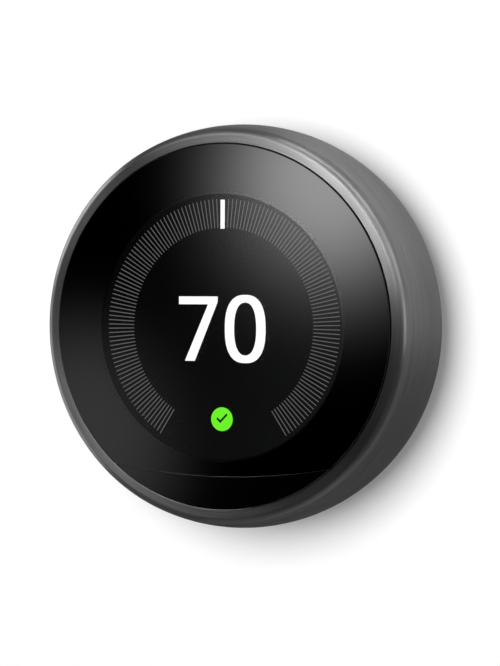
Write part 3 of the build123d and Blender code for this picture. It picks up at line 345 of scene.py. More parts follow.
def lens_rows(back_height):
    """Rows from the dome's apex out to the edge, round it, down the side and back in to the axis."""
    rows = []
    for share in (*DOME_ROWS, *LAST_ROWS):
        radius = share * lens_reach(lens_angles, edge_rounds)
        rows.append((radius, dome(radius)))
    for turn in np.linspace(0.0, math.pi / 2, 7)[1:]:
        radius = lens_reach(lens_angles, edge_rounds * (1 - math.sin(turn)))
        top = dome(lens_reach(lens_angles, edge_rounds))
        rows.append((radius, top - edge_rounds * (1 - math.cos(turn))))
    edge = lens_reach(lens_angles, 0.0)
    rows.append((edge, np.full_like(edge, back_height)))
    for share in BACK_ROWS:
        rows.append((edge * share, np.full_like(edge, back_height)))
    radius = np.array([r for r, _ in rows])
    height = np.array([h for _, h in rows])
    return np.stack((radius * np.cos(lens_angles), -height, radius * np.sin(lens_angles)), -1)


lens = grid_piece("lens_glass", lens_rows(LENS_BACK + GLASS_LIFT), False, "front", 40.0)
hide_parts("front_lens")
print("lens faces:", len(lens.data.polygons))

# %% [markdown]
# The window is a thin crescent: the seam above it, the rim below, and a sharp tip at each end. Rows round
# an axis don't suit that shape, so a closed section is carried along it from tip to tip. Each line of the
# section lies on the seam side or on the rim side, and the lines between them follow the same dome.


# %% Sensor window below the seam
def window_loop(inset, height_drop, side, stations):
    """One line along the window: on the seam side or the rim side, drawn in by inset and set down."""
    seam = SEAM_R + SEAM_GAP / 2 + inset
    rim = LENS_R - inset
    reach = rim * math.cos(seam_corner(rim, seam))
    x = reach * np.sin(stations * math.pi / 2)
    on_seam = SEAM_MIDDLE - np.sqrt(seam ** 2 - x ** 2)
    on_rim = -np.sqrt(np.maximum(rim ** 2 - x ** 2, 0.0))
    z = np.where(side, on_seam, on_rim)
    top = dome(np.hypot(x, z))
    return np.stack((x, -(top - height_drop), z), -1)


def window_rows():
    """Section round the window: up the seam side, over a small round, across the dome and down the rim."""
    stations = np.linspace(-1.0, 1.0, 161)
    inset, lines = LENS_ROUND, []
    bends = np.linspace(0.0, math.pi / 2, 6)
    for turn in bends:
        drawn_in, set_down = SEAM_ROUND * (1 - math.cos(turn)), SEAM_ROUND * (1 - math.sin(turn))
        lines.append(window_loop(drawn_in, set_down, True, stations))
    first, last = lines[-1], window_loop(inset, 0.0, False, stations)
    for share in (1 - LAST_ROWS[2], *np.linspace(0.0, 1.0, 12)[1:-1], *LAST_ROWS[:3]):
        between = first * (1 - share) + last * share
        between[:, 1] = -dome(np.hypot(between[:, 0], between[:, 2]))
        lines.append(between)
    for turn in bends[::-1]:
        lines.append(window_loop(inset * (1 - math.cos(turn)), inset * (1 - math.sin(turn)), False, stations))
    for line in (lines[-1], lines[0]):
        foot = line.copy()
        foot[:, 1] = -(LENS_BACK + GLASS_LIFT)
        lines.append(foot)
    return np.array(lines)


def strip_piece(name, lines, body, sharp):
    """Mesh of a section closed on itself, carried along open stations that shrink to an edge at both ends."""
    closed = np.concatenate((lines, lines[:1]))
    rows, columns = closed.shape[:2]
    index = np.arange(rows * columns).reshape(rows, columns)
    quads = np.stack((index[:-1, :-1], index[:-1, 1:], index[1:, 1:], index[1:, :-1]), -1).reshape(-1, 4)
    flat = closed.reshape(-1, 3) * MM
    quads = quads if volume_inside(flat, quads) > 0 else quads[:, ::-1]
    mesh = bpy.data.meshes.new(name)
    mesh.from_pydata(flat.tolist(), [], quads.tolist())
    return smooth_piece(name, mesh, body, sharp)


window = strip_piece("window_skin", window_rows(), "front", 40.0)
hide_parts("sensor_window")
print("window faces:", len(window.data.polygons))

# %% [markdown]
# ## What the display shows
# The screen is a round colour display behind the lens. It shows a temperature in two large figures, a
# ring of fine marks with one bright mark for the set value, and a small green sign. An image on the panel
# could show them, but shapes stay sharp at any size. So they are thin lit plates lying on the panel.
# Every plate is an outline carried from the panel's face to a hair above it, so it is a closed solid.

# %% Flat lit shapes on the panel
PANEL_FACE = 28.4
PRINT_T = 0.03
ABOVE_MARKS = 0.01                     # lifts of shapes over the fine marks, and over the sign's disc
ABOVE_SIGN = 0.03


def plate_piece(name, outlines, lift=0.0):
    """Thin plates from (outer, inner) outlines: each at two heights, with strips of faces between them."""
    points, faces, start = [], [], 0
    heights = PANEL_FACE + lift + PRINT_T * np.array((0, 1, 0, 1))
    for outer, inner in outlines:
        count = len(outer)
        lines = np.stack((outer, outer, inner, inner))
        depth = np.broadcast_to(-heights[:, None], lines.shape[:2])
        points.append(np.stack((lines[..., 0], depth, lines[..., 1]), -1).reshape(-1, 3))
        k = np.arange(count)
        n = np.roll(k, -1)
        for a, b in ((0, 1), (1, 3), (3, 2), (2, 0)):
            faces.append(np.stack((k + a * count, n + a * count, n + b * count, k + b * count), -1) + start)
        start += 4 * count
    mesh = bpy.data.meshes.new(name)
    mesh.from_pydata((np.concatenate(points) * MM).tolist(), [], np.concatenate(faces).tolist())
    weld(mesh, WELD, drop_slivers=True, turn_out=True)
    return place_piece(name, mesh, "front")


def solid_outline(outline):
    """A filled shape: its outline paired with as many points at the outline's mean."""
    middle = outline.mean(0)
    return outline, np.repeat(middle[None], len(outline), 0)


def rounded_loop(half_w, half_h, power, count=120):
    """Superellipse: cosine and sine to the power 2 / n, so the sides run straighter than an ellipse's."""
    t = np.linspace(0.0, 2 * np.pi, count, endpoint=False)
    c, s = np.cos(t), np.sin(t)
    x = half_w * np.sign(c) * np.abs(c) ** (2.0 / power)
    z = half_h * np.sign(s) * np.abs(s) ** (2.0 / power)
    return np.stack((x, z), -1)


def radial_bar(angle, inner, outer, width):
    """A straight mark from the inner to the outer radius, at an angle clockwise from the top."""
    along = np.array((math.sin(angle), math.cos(angle)))
    side = np.array((along[1], -along[0])) * width / 2
    return np.array((along * inner - side, along * outer - side, along * outer + side, along * inner + side))


print("plates are", PRINT_T, "mm thick on a panel", PANEL_FACE, "mm off the wall")

# %% [markdown]
# The scale is a fan of fine radial marks, two degrees apart and open at the bottom. An Array modifier
# could repeat one mark, but each is four corners, so a list is as short. The set value is a wider mark at
# the top, and the fine marks leave room for it.

# %% Ring of fine marks and the bright mark
MARK_INNER = 20.4
MARK_OUTER = 26.35
MARK_W = 0.19
MARK_SPAN = 147                        # degrees to each side of the top
MARK_STEP = 2.0
POINTER_W = 0.94
POINTER_DROP = 0.2
POINTER_ROOM = 0.03                    # radians to each side of the top
mark_angles = np.radians(np.arange(-MARK_SPAN, MARK_SPAN + 1, MARK_STEP))
mark_angles = mark_angles[np.abs(mark_angles) > POINTER_ROOM]
fine = [solid_outline(radial_bar(angle, MARK_INNER, MARK_OUTER, MARK_W)) for angle in mark_angles]
marks = plate_piece("display_marks", fine)
bright = radial_bar(0.0, MARK_INNER - POINTER_DROP, MARK_OUTER - POINTER_DROP, POINTER_W)
pointer = plate_piece("display_pointer", [solid_outline(bright)], ABOVE_MARKS)
print("fine marks:", len(fine))

# %% [markdown]
# The figures are plain upright numerals. A text object could set them, but its letter forms differ from
# the display's. The seven is a bar and a leg, and the zero is the strip between two rounded loops. The
# small green sign is a plain disc with a dark check mark of two strokes.

# %% Two figures and the green sign
SEVEN_X = -9.95
SEVEN_Z = -7.05
ZERO_X = 5.15
ZERO_Z = -0.4
SIGN_Z = -19.0
SIGN_X = -0.15
SIGN_R = 2.45
ZERO_OUTER = (4.6, 7.0, 2.5)           # half width, half height and squareness
ZERO_INNER = (2.5, 5.42, 2.35)
bar = np.array(((0, 13.3), (8.85, 13.3), (8.85, 12.2), (8.64, 11.68), (0, 11.68)))
leg = np.array(((8.64, 11.68), (3.62, 0.0), (1.36, 0.0), (6.66, 11.68)))
seven = [solid_outline(shape + np.array((SEVEN_X, SEVEN_Z))) for shape in (bar, leg)]
at_zero = np.array((ZERO_X, ZERO_Z))
zero = [(rounded_loop(*ZERO_OUTER) + at_zero, rounded_loop(*ZERO_INNER) + at_zero)]
figures = plate_piece("display_figures", seven + zero, ABOVE_MARKS)
at_sign = np.array((SIGN_X, SIGN_Z))
sign_edge = rounded_loop(SIGN_R, SIGN_R, 2.0, 64) + at_sign
disc = plate_piece("display_sign", [solid_outline(sign_edge)], ABOVE_MARKS)
left_leg = np.array(((-1.25, 0.05), (-0.38, -0.82), (-0.38, -0.22), (-0.98, 0.36)))
right_leg = np.array(((-0.38, -0.82), (1.3, 0.88), (1.02, 1.18), (-0.38, -0.22)))
tick_parts = [solid_outline(shape + at_sign) for shape in (left_leg, right_leg)]
tick = plate_piece("display_sign_tick", tick_parts, ABOVE_SIGN)
print("figures:", len(figures.data.polygons), "faces")

# %% [markdown]
# ## Finishes
# Each finish is a small tree of nodes. Pictures could be wrapped round the pieces, but a pattern worked
# out from the place on a piece has no seam and stays sharp. Patterns read Object coordinates, in metres,
# or the ring's own map, so they stay on the piece when it moves. A value that is the same all over a
# piece is set straight on the shader's socket.


# %% Helpers that build a tree of nodes
def start_finish(name, colour, rough, metal=0.0, **sockets):
    """A material with one principled shader; extra sockets are set by their names."""
    material = bpy.data.materials.new(name)
    material.use_nodes = True
    shader = material.node_tree.nodes["Principled BSDF"]
    shader.inputs["Base Color"].default_value = (*colour, 1.0)
    shader.inputs["Roughness"].default_value = rough
    shader.inputs["Metallic"].default_value = metal
    for socket, value in sockets.items():
        shader.inputs[socket.replace("_", " ")].default_value = value
    return material, shader


def add(owner, kind, **settings):
    """A node in a material or the world: settings are its properties, or its inputs as IN and a number."""
    node = owner.node_tree.nodes.new(kind)
    for key, value in settings.items():
        if key.startswith("IN"):
            node.inputs[int(key[2:])].default_value = value
        else:
            setattr(node, key, value)
    return node


def join(owner, output, socket):
    """A link from an output to an input."""
    owner.node_tree.links.new(output, socket)


def worked(owner, operation, *terms):
    """Result of a Math node: a term that is a number is set on its socket, and an output is linked to it."""
    node = add(owner, "ShaderNodeMath", operation=operation)
    for socket, term in zip(node.inputs, terms):
        if isinstance(term, float):
            socket.default_value = term
        else:
            join(owner, term, socket)
    return node.outputs[0]


def ramp(owner, value, start, end, low, high):
    """A value carried in a straight line from start and end to low and high, and held beyond both."""
    node = add(owner, "ShaderNodeMapRange", IN1=start, IN2=end, IN3=low, IN4=high)
    join(owner, value, node.inputs[0])
    return node.outputs[0]


def split(owner, vector):
    """The parts of a vector, by their names X, Y and Z."""
    node = add(owner, "ShaderNodeSeparateXYZ")
    join(owner, vector, node.inputs[0])
    return node.outputs


print("tree helpers:", [helper.__name__ for helper in (start_finish, add, join, worked, ramp, split)])

# %% [markdown]
# No real surface is even. A moulding has a faint mottle, metal has patches, and a gloss wanders. All of
# it can come from one noise: stretched between two values it gives the gloss, between two tones the
# colour, and as a height a fine relief.

# %% Helpers that vary a finish
NOISE_REACH = (0.3, 0.7)               # where nearly all of the noise lies
ACROSS_AXIS = (1.0, 0.0, 1.0)          # keeps a place's x and z, and drops its depth


def place_on(material):
    """The place on the piece, in metres."""
    return add(material, "ShaderNodeTexCoord").outputs["Object"]


def scaled(material, vector, factors):
    """A vector with each of its parts multiplied by a factor."""
    node = add(material, "ShaderNodeVectorMath", operation="MULTIPLY", IN1=factors)
    join(material, vector, node.inputs[0])
    return node.outputs[0]


def noise_on(material, scale, detail=3.0, vector=None):
    """Noise read at the place on the piece, or at a given vector."""
    node = add(material, "ShaderNodeTexNoise")
    node.inputs["Scale"].default_value = scale
    node.inputs["Detail"].default_value = detail
    join(material, place_on(material) if vector is None else vector, node.inputs["Vector"])
    return node.outputs["Fac"]


def spread(material, noise, low, high):
    """Noise stretched from low to high."""
    return ramp(material, noise, *NOISE_REACH, low, high)


def uneven_gloss(material, shader, scale, low, high):
    """Roughness that wanders from low to high, by noise of a given scale."""
    join(material, spread(material, noise_on(material, scale), low, high), shader.inputs["Roughness"])


def tone(material, shader, value, dark, light):
    """Colour between two tones by a value from 0 to 1."""
    node = add(material, "ShaderNodeMix", data_type="RGBA")
    node.inputs["A"].default_value = (*dark, 1.0)
    node.inputs["B"].default_value = (*light, 1.0)
    join(material, value, node.inputs["Factor"])
    join(material, node.outputs["Result"], shader.inputs["Base Color"])


def bumped(material, shader, value, depth, strength):
    """Relief of a given depth in metres."""
    node = add(material, "ShaderNodeBump")
    node.inputs["Strength"].default_value = strength
    node.inputs["Distance"].default_value = depth
    join(material, value, node.inputs["Height"])
    join(material, node.outputs["Normal"], shader.inputs["Normal"])


print("noise is stretched from", NOISE_REACH)

# %% [markdown]
# The ring is brushed round its axis. Scratches could be carved, but they are finer than a pixel. What the
# eye sees is how they spread light: across the scratches, so a highlight is drawn out into two opposed
# wedges. An anisotropic shader does that, with its direction taken from the ring's map. The streaks
# between are noise that is long round the ring and fine across it. It is read at the unit vector from the
# axis, which closes on itself, and at the distance across the section.

# %% Streaks round the ring
FINE_STREAKS = (2.4, 2.6, 2.4)
BROAD_STREAKS = (3.0, 1.1, 3.0)
RING_TONE = (0.095, 0.095, 0.096)
steel, steel_shader = start_finish(
    "ring_steel", RING_TONE, 0.36, metal=1.0, Anisotropic=0.86, Anisotropic_Rotation=0.25
)
steel_shader.inputs["Specular Tint"].default_value = (0.3, 0.3, 0.3, 1.0)
brushed_along = add(steel, "ShaderNodeTangent", direction_type="UV_MAP", uv_map=RING_MAP)
join(steel, brushed_along.outputs["Tangent"], steel_shader.inputs["Tangent"])
outward = add(steel, "ShaderNodeVectorMath", operation="NORMALIZE")
join(steel, scaled(steel, place_on(steel), ACROSS_AXIS), outward.inputs[0])
direction = split(steel, outward.outputs[0])
on_map = split(steel, add(steel, "ShaderNodeUVMap", uv_map=RING_MAP).outputs["UV"])
streak_place = add(steel, "ShaderNodeCombineXYZ")
for part, source in (("X", direction), ("Y", on_map), ("Z", direction)):
    join(steel, source[part], streak_place.inputs[part])
fine_streaks = noise_on(steel, 1.0, 4.0, scaled(steel, streak_place.outputs[0], FINE_STREAKS))
broad_streaks = noise_on(steel, 1.0, 2.0, scaled(steel, streak_place.outputs[0], BROAD_STREAKS))
print("streak nodes:", len(steel.node_tree.nodes))

# %% [markdown]
# The streaks vary the tone, the gloss and a very fine relief. The lip and the shoulder are brushed finer
# than the side, so the side is duller by a set amount, which grows over the shoulder.

# %% Brushed dark steel
DARK_STREAK = (0.078, 0.078, 0.078)
LIGHT_STREAK = (0.112, 0.112, 0.113)
SHOULDER_Y, SIDE_Y = -0.0288, -0.0265  # metres: the side grows duller between these depths
SIDE_DULLER = 0.19
STREAK_DEPTH = 0.000004
tone(steel, steel_shader, spread(steel, fine_streaks, 0.0, 1.0), DARK_STREAK, LIGHT_STREAK)
duller = ramp(steel, split(steel, place_on(steel))["Y"], SHOULDER_Y, SIDE_Y, 0.0, SIDE_DULLER)
steel_rough = worked(steel, "ADD", spread(steel, broad_streaks, 0.315, 0.36), duller)
join(steel, steel_rough, steel_shader.inputs["Roughness"])
bumped(steel, steel_shader, fine_streaks, STREAK_DEPTH, 0.6)
ring.data.materials.append(steel)
print("steel nodes:", len(steel.node_tree.nodes))

# %% [markdown]
# The lens is clear acrylic with a black print on its rear, outside the screen. A black ring behind clear
# acrylic could show it, but light that wanders inside the lens makes the black grainy. So the lens's own
# finish is clear over the screen and black over the border. A coat, thin over the screen and full over
# the border, gives the border its stronger shine.

# %% Clear lens with its black border
SCREEN_COAT, BORDER_COAT = 0.15, 1.0
COAT_GROWS = (0.0273, 0.0275)          # metres from the axis, at the screen's edge
CLEAR_ENDS = (0.02785, 0.02795)
glass, glass_shader = start_finish(
    "clear_lens", (1.0, 1.0, 1.0), 0.02,
    IOR=1.49, Transmission_Weight=1.0, Coat_Roughness=0.005, Coat_IOR=1.7,
)
uneven_gloss(glass, glass_shader, 300.0, 0.002, 0.008)
length = add(glass, "ShaderNodeVectorMath", operation="LENGTH")
join(glass, scaled(glass, place_on(glass), ACROSS_AXIS), length.inputs[0])
from_axis = length.outputs["Value"]
coat = ramp(glass, from_axis, *COAT_GROWS, SCREEN_COAT, BORDER_COAT)
join(glass, coat, glass_shader.inputs["Coat Weight"])
join(glass, ramp(glass, from_axis, *CLEAR_ENDS, 1.0, 0.0), glass_shader.inputs["Base Color"])
lens.data.materials.append(glass)
print("the lens is clear to", CLEAR_ENDS[0] / MM, "mm from its axis")

# %% [markdown]
# The sensor window is smoked acrylic, dark enough to look black, and as polished as the lens. The printed
# mask behind the lens is matt ink. The panel glows faintly where it shows black, as a backlit display
# does. On top of that glow, a painted light rises towards the lower right.

# %% Window, mask and dark panel
PAINTED_RISE_LEAN = (0.97, 0.0, -0.26)         # the direction in which the painted light rises
PAINTED_RISE_RUN = (-0.016, 0.026)             # metres along it
# the low end is the display's own faint glow, and the rise above it is painted light
GLOW_AND_PAINTED_RISE = (0.0002, 0.0062)
smoke, smoke_shader = start_finish(
    "window_black", (0.0016, 0.0016, 0.0017), 0.03,
    IOR=1.49, Coat_Weight=1.0, Coat_Roughness=0.02, Coat_IOR=1.7,
)
uneven_gloss(smoke, smoke_shader, 300.0, 0.02, 0.05)
window.data.materials.append(smoke)
mask_ink, mask_shader = start_finish("mask_black", (0.0012, 0.0012, 0.0012), 0.4, Specular_IOR_Level=0.0)
uneven_gloss(mask_ink, mask_shader, 900.0, 0.35, 0.45)
panel, panel_shader = start_finish("display_glass", (0.001, 0.001, 0.0012), 0.3, Specular_IOR_Level=0.0)
# painted light: the panel's emission grows towards the lower right, over its own faint glow
painted_rise_along = add(panel, "ShaderNodeVectorMath", operation="DOT_PRODUCT", IN1=PAINTED_RISE_LEAN)
join(panel, place_on(panel), painted_rise_along.inputs[0])
panel_glow_and_painted_rise = ramp(panel, painted_rise_along.outputs["Value"], *PAINTED_RISE_RUN, *GLOW_AND_PAINTED_RISE)
join(panel, panel_glow_and_painted_rise, panel_shader.inputs["Emission Strength"])
panel_shader.inputs["Emission Color"].default_value = (0.95, 1.0, 1.0, 1.0)
print("dark finishes:", smoke.name, mask_ink.name, panel.name)

# %% [markdown]
# The figures, the marks and the sign are lit pixels. A lamp behind a cut-out could light them, but a
# display is seen straight on, so each shape gives off its own light. The fine marks are much dimmer than
# the figures.


# %% Lit shapes
def lit(name, colour, strength):
    """A lit shape: dark in itself, with its own light, evened by the display's fine pixel grain."""
    material, shader = start_finish(name, (0.02, 0.02, 0.02), 0.6, Specular_IOR_Level=0.0)
    shader.inputs["Emission Color"].default_value = (*colour, 1.0)
    level = spread(material, noise_on(material, 9000.0, 0.0), strength * 0.985, strength * 1.015)
    join(material, level, shader.inputs["Emission Strength"])
    return material


figures.data.materials.append(lit("display_white_lit", (1.0, 1.0, 1.0), 1.15))
pointer.data.materials.append(figures.data.materials[0])
marks.data.materials.append(lit("display_mark_lit", (1.0, 1.0, 1.0), 0.12))
disc.data.materials.append(lit("display_green_lit", (0.15, 0.88, 0.022), 1.1))
tick.data.materials.append(mask_ink)
print("front finishes:", len(bpy.data.materials))

# %% [markdown]
# ## The other pieces
# Inside and behind are moulded plastics, circuit boards, stamped metal and a small level. Each plastic
# could have a tree of its own, but all come out of a mould, so they share one helper: a slight mottle in
# the colour, a fine matt texture, and a hint of unevenness in the gloss.


# %% Moulded plastics
def moulded(name, colour, rough, texture=0.000006, mottle=0.06):
    """Plastic: colour varied a little at 6 mm, fine relief at a tenth of a millimetre, gloss at 2 mm."""
    material, shader = start_finish(name, colour, rough)
    dark = tuple(c * (1 - mottle) for c in colour)
    light = tuple(min(1.0, c * (1 + mottle)) for c in colour)
    tone(material, shader, spread(material, noise_on(material, 160.0, 2.0), 0.0, 1.0), dark, light)
    uneven_gloss(material, shader, 500.0, rough * 0.88, rough * 1.12)
    bumped(material, shader, noise_on(material, 9000.0, 2.0), texture, 0.7)
    return material


finishes = {
    "black_plastic": moulded("black_plastic", (0.014, 0.014, 0.015), 0.46),
    "housing_grey": moulded("housing_grey", (0.055, 0.056, 0.058), 0.5),
    "base_white": moulded("base_white", (0.74, 0.74, 0.725), 0.48, mottle=0.02),
    "tab_grey": moulded("tab_grey", (0.36, 0.37, 0.38), 0.42, mottle=0.03),
    "glide_plastic": moulded("glide_plastic", (0.62, 0.61, 0.57), 0.4, mottle=0.03),
    "battery_wrap": moulded("battery_wrap", (0.022, 0.03, 0.055), 0.28, texture=0.000003),
    "display_white": moulded("display_white", (0.7, 0.7, 0.68), 0.4, mottle=0.02),
}
print("moulded finishes:", len(finishes))

# %% [markdown]
# Clips, pins, springs, screws and shields are bare metal, patchy in tone and gloss. The level is a clear
# tube with a green fluid in it. Both bend light, each with its own index, so the bubble shows as it does
# in a real level.

# %% Metals and the level
brass, brass_shader = start_finish("contact_brass", (0.78, 0.6, 0.3), 0.28, metal=1.0)
brass_patches = spread(brass, noise_on(brass, 700.0), 0.0, 1.0)
tone(brass, brass_shader, brass_patches, (0.7, 0.52, 0.25), (0.83, 0.66, 0.36))
uneven_gloss(brass, brass_shader, 1500.0, 0.22, 0.36)
plain, plain_shader = start_finish("plain_steel", (0.56, 0.56, 0.56), 0.3, metal=1.0)
plain_patches = spread(plain, noise_on(plain, 600.0), 0.0, 1.0)
tone(plain, plain_shader, plain_patches, (0.5, 0.5, 0.5), (0.62, 0.62, 0.61))
uneven_gloss(plain, plain_shader, 2500.0, 0.22, 0.38)
clear, clear_shader = start_finish("vial_clear", (0.97, 1.0, 0.97), 0.03, IOR=1.49, Transmission_Weight=1.0)
uneven_gloss(clear, clear_shader, 400.0, 0.02, 0.05)
fluid, fluid_shader = start_finish("level_green", (0.33, 0.72, 0.05), 0.05, IOR=1.33, Transmission_Weight=0.6)
uneven_gloss(fluid, fluid_shader, 400.0, 0.03, 0.07)
print("metals and level:", brass.name, plain.name, clear.name, fluid.name)

# %% [markdown]
# A circuit board has green lacquer over copper tracks that stand up a little. Every track could be drawn,
# but a web of cell borders reads as tracks from any distance. The band inside the ring carries fine dark
# and pale stripes, which the sensor counts as the ring turns. They are a sine of the angle, cut at zero.

# %% Boards and the counting band
TRACK_HEIGHT = 0.00003
STRIPE_PAIRS = 180.0
board, board_shader = start_finish(
    "board_green", (0.01, 0.11, 0.045), 0.32, Coat_Weight=0.4, Coat_Roughness=0.15
)
cells = add(board, "ShaderNodeTexVoronoi", feature="DISTANCE_TO_EDGE")
cells.inputs["Scale"].default_value = 420.0
join(board, place_on(board), cells.inputs["Vector"])
tracks = ramp(board, cells.outputs["Distance"], 0.03, 0.07, 1.0, 0.0)
tone(board, board_shader, tracks, (0.008, 0.095, 0.04), (0.02, 0.16, 0.07))
bumped(board, board_shader, tracks, TRACK_HEIGHT, 0.6)

stripes, stripes_shader = start_finish("encoder_print", (0.7, 0.7, 0.7), 0.45)
spot = split(stripes, place_on(stripes))
turn = worked(stripes, "ARCTAN2", spot["Z"], spot["X"])
wave = worked(stripes, "SINE", worked(stripes, "MULTIPLY", turn, STRIPE_PAIRS))
bars = worked(stripes, "GREATER_THAN", wave, 0.0)
tone(stripes, stripes_shader, bars, (0.015, 0.015, 0.015), (0.72, 0.72, 0.7))
print("patterned finishes:", board.name, stripes.name)

# %% [markdown]
# The record of the model names a material slot for each node. Finishes could be set node by node, but a
# table from slot to finish keeps like pieces alike.

# %% Every carried-over node takes the finish of its slot
finishes.update(mask_black=mask_ink, display_glass=panel, clear_lens=glass, window_black=smoke)
finishes.update(ring_steel=steel, contact_brass=brass, plain_steel=plain, vial_clear=clear)
finishes.update(level_green=fluid, board_green=board, encoder_print=stripes)
slot_of = {part["node"]: part["material_slot"] for part in frame["record"]["subparts"]}
for name, slot in slot_of.items():
    for holder in frame["nodes"][name].material_slots:
        holder.material = finishes[slot]
print("finished nodes:", len(slot_of))

# %% [markdown]
# Three leaf springs push the front back out, and a flat cable joins the display to the main board. Both
# give as the front is pressed: the springs flatten on the board, and the cable closes up at its bends.
# Here each is only copied as it stands, with coinciding points merged, and set on its body.

# %% Copies of the springs and the cable
CAD_WELD = 0.001


def giving_copy(node, body):
    """Copy of a node, with coinciding points merged, set on a body in place of the node."""
    mesh = frame["nodes"][node].data.copy()
    weld(mesh, CAD_WELD * MM)
    piece = place_piece(node + "_giving", mesh, body)
    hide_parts(node)
    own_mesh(piece)
    return piece


springs = giving_copy("return_springs", "head")
cable = giving_copy("display_ribbon", "front")
print("giving pieces:", springs.name, cable.name)

# %% [markdown]
# ## The wall and the light
# The object hangs on a white wall, which takes its shadow. More light would make the paint white, but it
# would wash out the object as well. So the paint also shows a little white of its own to the camera, to
# metal and to glass. Seen from behind it is clear, so that a view from the back shows the base plate.

# %% Pale paint
PAINT_SHADE = 0.88
PAINT_OWN_WHITE = 0.12
WHITE = (1.0, 1.0, 1.0, 1.0)


def pale_paint(name):
    """Diffuse paint plus its own white on camera, glossy and transmission rays; clear from behind."""
    material = bpy.data.materials.new(name)
    material.use_nodes = True
    material.node_tree.nodes.clear()
    paint = add(material, "ShaderNodeBsdfDiffuse", IN0=(PAINT_SHADE, PAINT_SHADE, PAINT_SHADE, 1.0))
    own = add(material, "ShaderNodeEmission", IN0=WHITE)
    ray = add(material, "ShaderNodeLightPath").outputs
    straight = worked(material, "MAXIMUM", ray["Is Camera Ray"], ray["Is Glossy Ray"])
    shown_to = worked(material, "MAXIMUM", straight, ray["Is Transmission Ray"])
    join(material, worked(material, "MULTIPLY", shown_to, PAINT_OWN_WHITE), own.inputs["Strength"])
    both = add(material, "ShaderNodeAddShader")
    join(material, paint.outputs[0], both.inputs[0])
    join(material, own.outputs[0], both.inputs[1])
    clear_side = add(material, "ShaderNodeBsdfTransparent", IN0=WHITE)
    choice = add(material, "ShaderNodeMixShader")
    join(material, add(material, "ShaderNodeNewGeometry").outputs["Backfacing"], choice.inputs[0])
    join(material, both.outputs[0], choice.inputs[1])
    join(material, clear_side.outputs[0], choice.inputs[2])
    join(material, choice.outputs[0], add(material, "ShaderNodeOutputMaterial").inputs["Surface"])
    return material


print("paint shade:", PAINT_SHADE, "own white:", PAINT_OWN_WHITE)

# %% [markdown]
# One large plane could be the wall, but it would cover the base from behind. So it is built as rings of
# points with a round hole behind the base, as a wall has for the wires. The room's pale floor is far
# down.

# %% Wall and floor
WALL_HOLE = 34.95
WALL_REACH = 2500.0
WALL_GAP = 0.02                        # the wall lies this far behind the base
WALL_COLUMNS = 96
FLOOR_DROP = 1200.0                    # below the middle of the object
FLOOR_REACH = 700.0


def wall_points():
    """Rings of points on the wall's plane, from the hole out to the wall's reach."""
    angle = np.linspace(0.0, 2 * np.pi, WALL_COLUMNS, endpoint=False)
    radius = np.array((WALL_HOLE, 60.0, 150.0, 500.0, WALL_REACH))[:, None]
    return np.stack((radius * np.cos(angle), 0.0 * radius * angle + WALL_GAP, radius * np.sin(angle)), -1)


def stage_sheet(name, points, faces, material):
    """A flat sheet that isn't part of the object."""
    mesh = bpy.data.meshes.new(name)
    mesh.from_pydata((points * MM).tolist(), [], faces)
    mesh.materials.append(material)
    sheet = bpy.data.objects.new(name, mesh)
    bpy.context.scene.collection.objects.link(sheet)
    return sheet


on_wall = wall_points()
numbers = np.arange(on_wall.shape[0] * WALL_COLUMNS).reshape(-1, WALL_COLUMNS)
inner, outer = numbers[:-1], numbers[1:]
wall_quads = np.stack((inner, np.roll(inner, -1, 1), np.roll(outer, -1, 1), outer), -1)
wall_quads = wall_quads.reshape(-1, 4)[:, ::-1].tolist()
wall = stage_sheet("wall", on_wall.reshape(-1, 3), wall_quads, pale_paint("wall_paint"))
floor_corners = np.array(((-1, -1, 0), (1, -1, 0), (1, 0, 0), (-1, 0, 0))) * FLOOR_REACH
floor_corners = floor_corners - (0.0, 0.0, FLOOR_DROP)
floor = stage_sheet("floor", floor_corners, [[0, 1, 2, 3]], pale_paint("floor_paint"))
print("wall faces the room:", wall.data.polygons[0].normal.y < 0)
print("floor faces up:", floor.data.polygons[0].normal.z > 0)

# %% [markdown]
# A single soft lamp could light everything, but a photographer shields the parts of a glossy object from
# each other's light. So each lamp here says what it lights: the wall alone, all but the wall and the
# lens, the ring, or the lens. The lens is left out of the large lamps, because it would mirror them.


# %% What each lamp lights
def receivers(name, pieces, leave_out=False):
    """A collection that limits a lamp to some pieces, or to all but these."""
    group = bpy.data.collections.new(name)
    for piece in pieces:
        group.objects.link(piece)
    if leave_out:
        for entry in group.collection_objects:
            entry.light_linking.link_state = "EXCLUDE"
    return group


wall_only = receivers("wall_light_receivers", (wall,))
body_light = receivers("all_but_wall_and_lens", (wall, lens, window), leave_out=True)
ring_only = receivers("ring_light_receivers", (ring,))
lens_only = receivers("lens_light_receivers", (lens, window))
print("lamp groups:", [group.name for group in (wall_only, body_light, ring_only, lens_only)])

# %% [markdown]
# The wall has a lamp nearly straight in front, which keeps its shadow short. The object has a key lamp
# above left and two weak soft boxes. Two small keys draw the wedges on the ring's lip. Four rim lamps
# close to the wall light the ring's upper right side, two lamps light its left side, and a low one draws
# a line on the lens's edge.


# %% Lamps
def lamp(name, towards, away, size, radiance, only):
    """A round soft lamp: power is four times its brightness times its area, and it looks at the object."""
    data = bpy.data.lights.new(name, "AREA")
    data.shape = "DISK"
    data.size = size
    data.energy = 4.0 * radiance * math.pi * size ** 2 / 4.0
    holder = bpy.data.objects.new(name, data)
    bpy.context.scene.collection.objects.link(holder)
    holder.location = Vector(towards * away)
    holder.rotation_euler = Vector(towards).to_track_quat("Z", "Y").to_euler()
    holder.light_linking.receiver_collection = only


def heading(turn, lift):
    """Unit vector from the object, by degrees to the right of straight ahead and degrees up."""
    return camera_axes(math.radians(turn), math.radians(lift))[2]


def along_wall(angle, out):
    """Unit vector close to the wall: at an angle round it, standing out from it by a share of its length."""
    level = math.sqrt(1 - out ** 2)
    return np.array((level * math.cos(math.radians(angle)), -out, level * math.sin(math.radians(angle))))


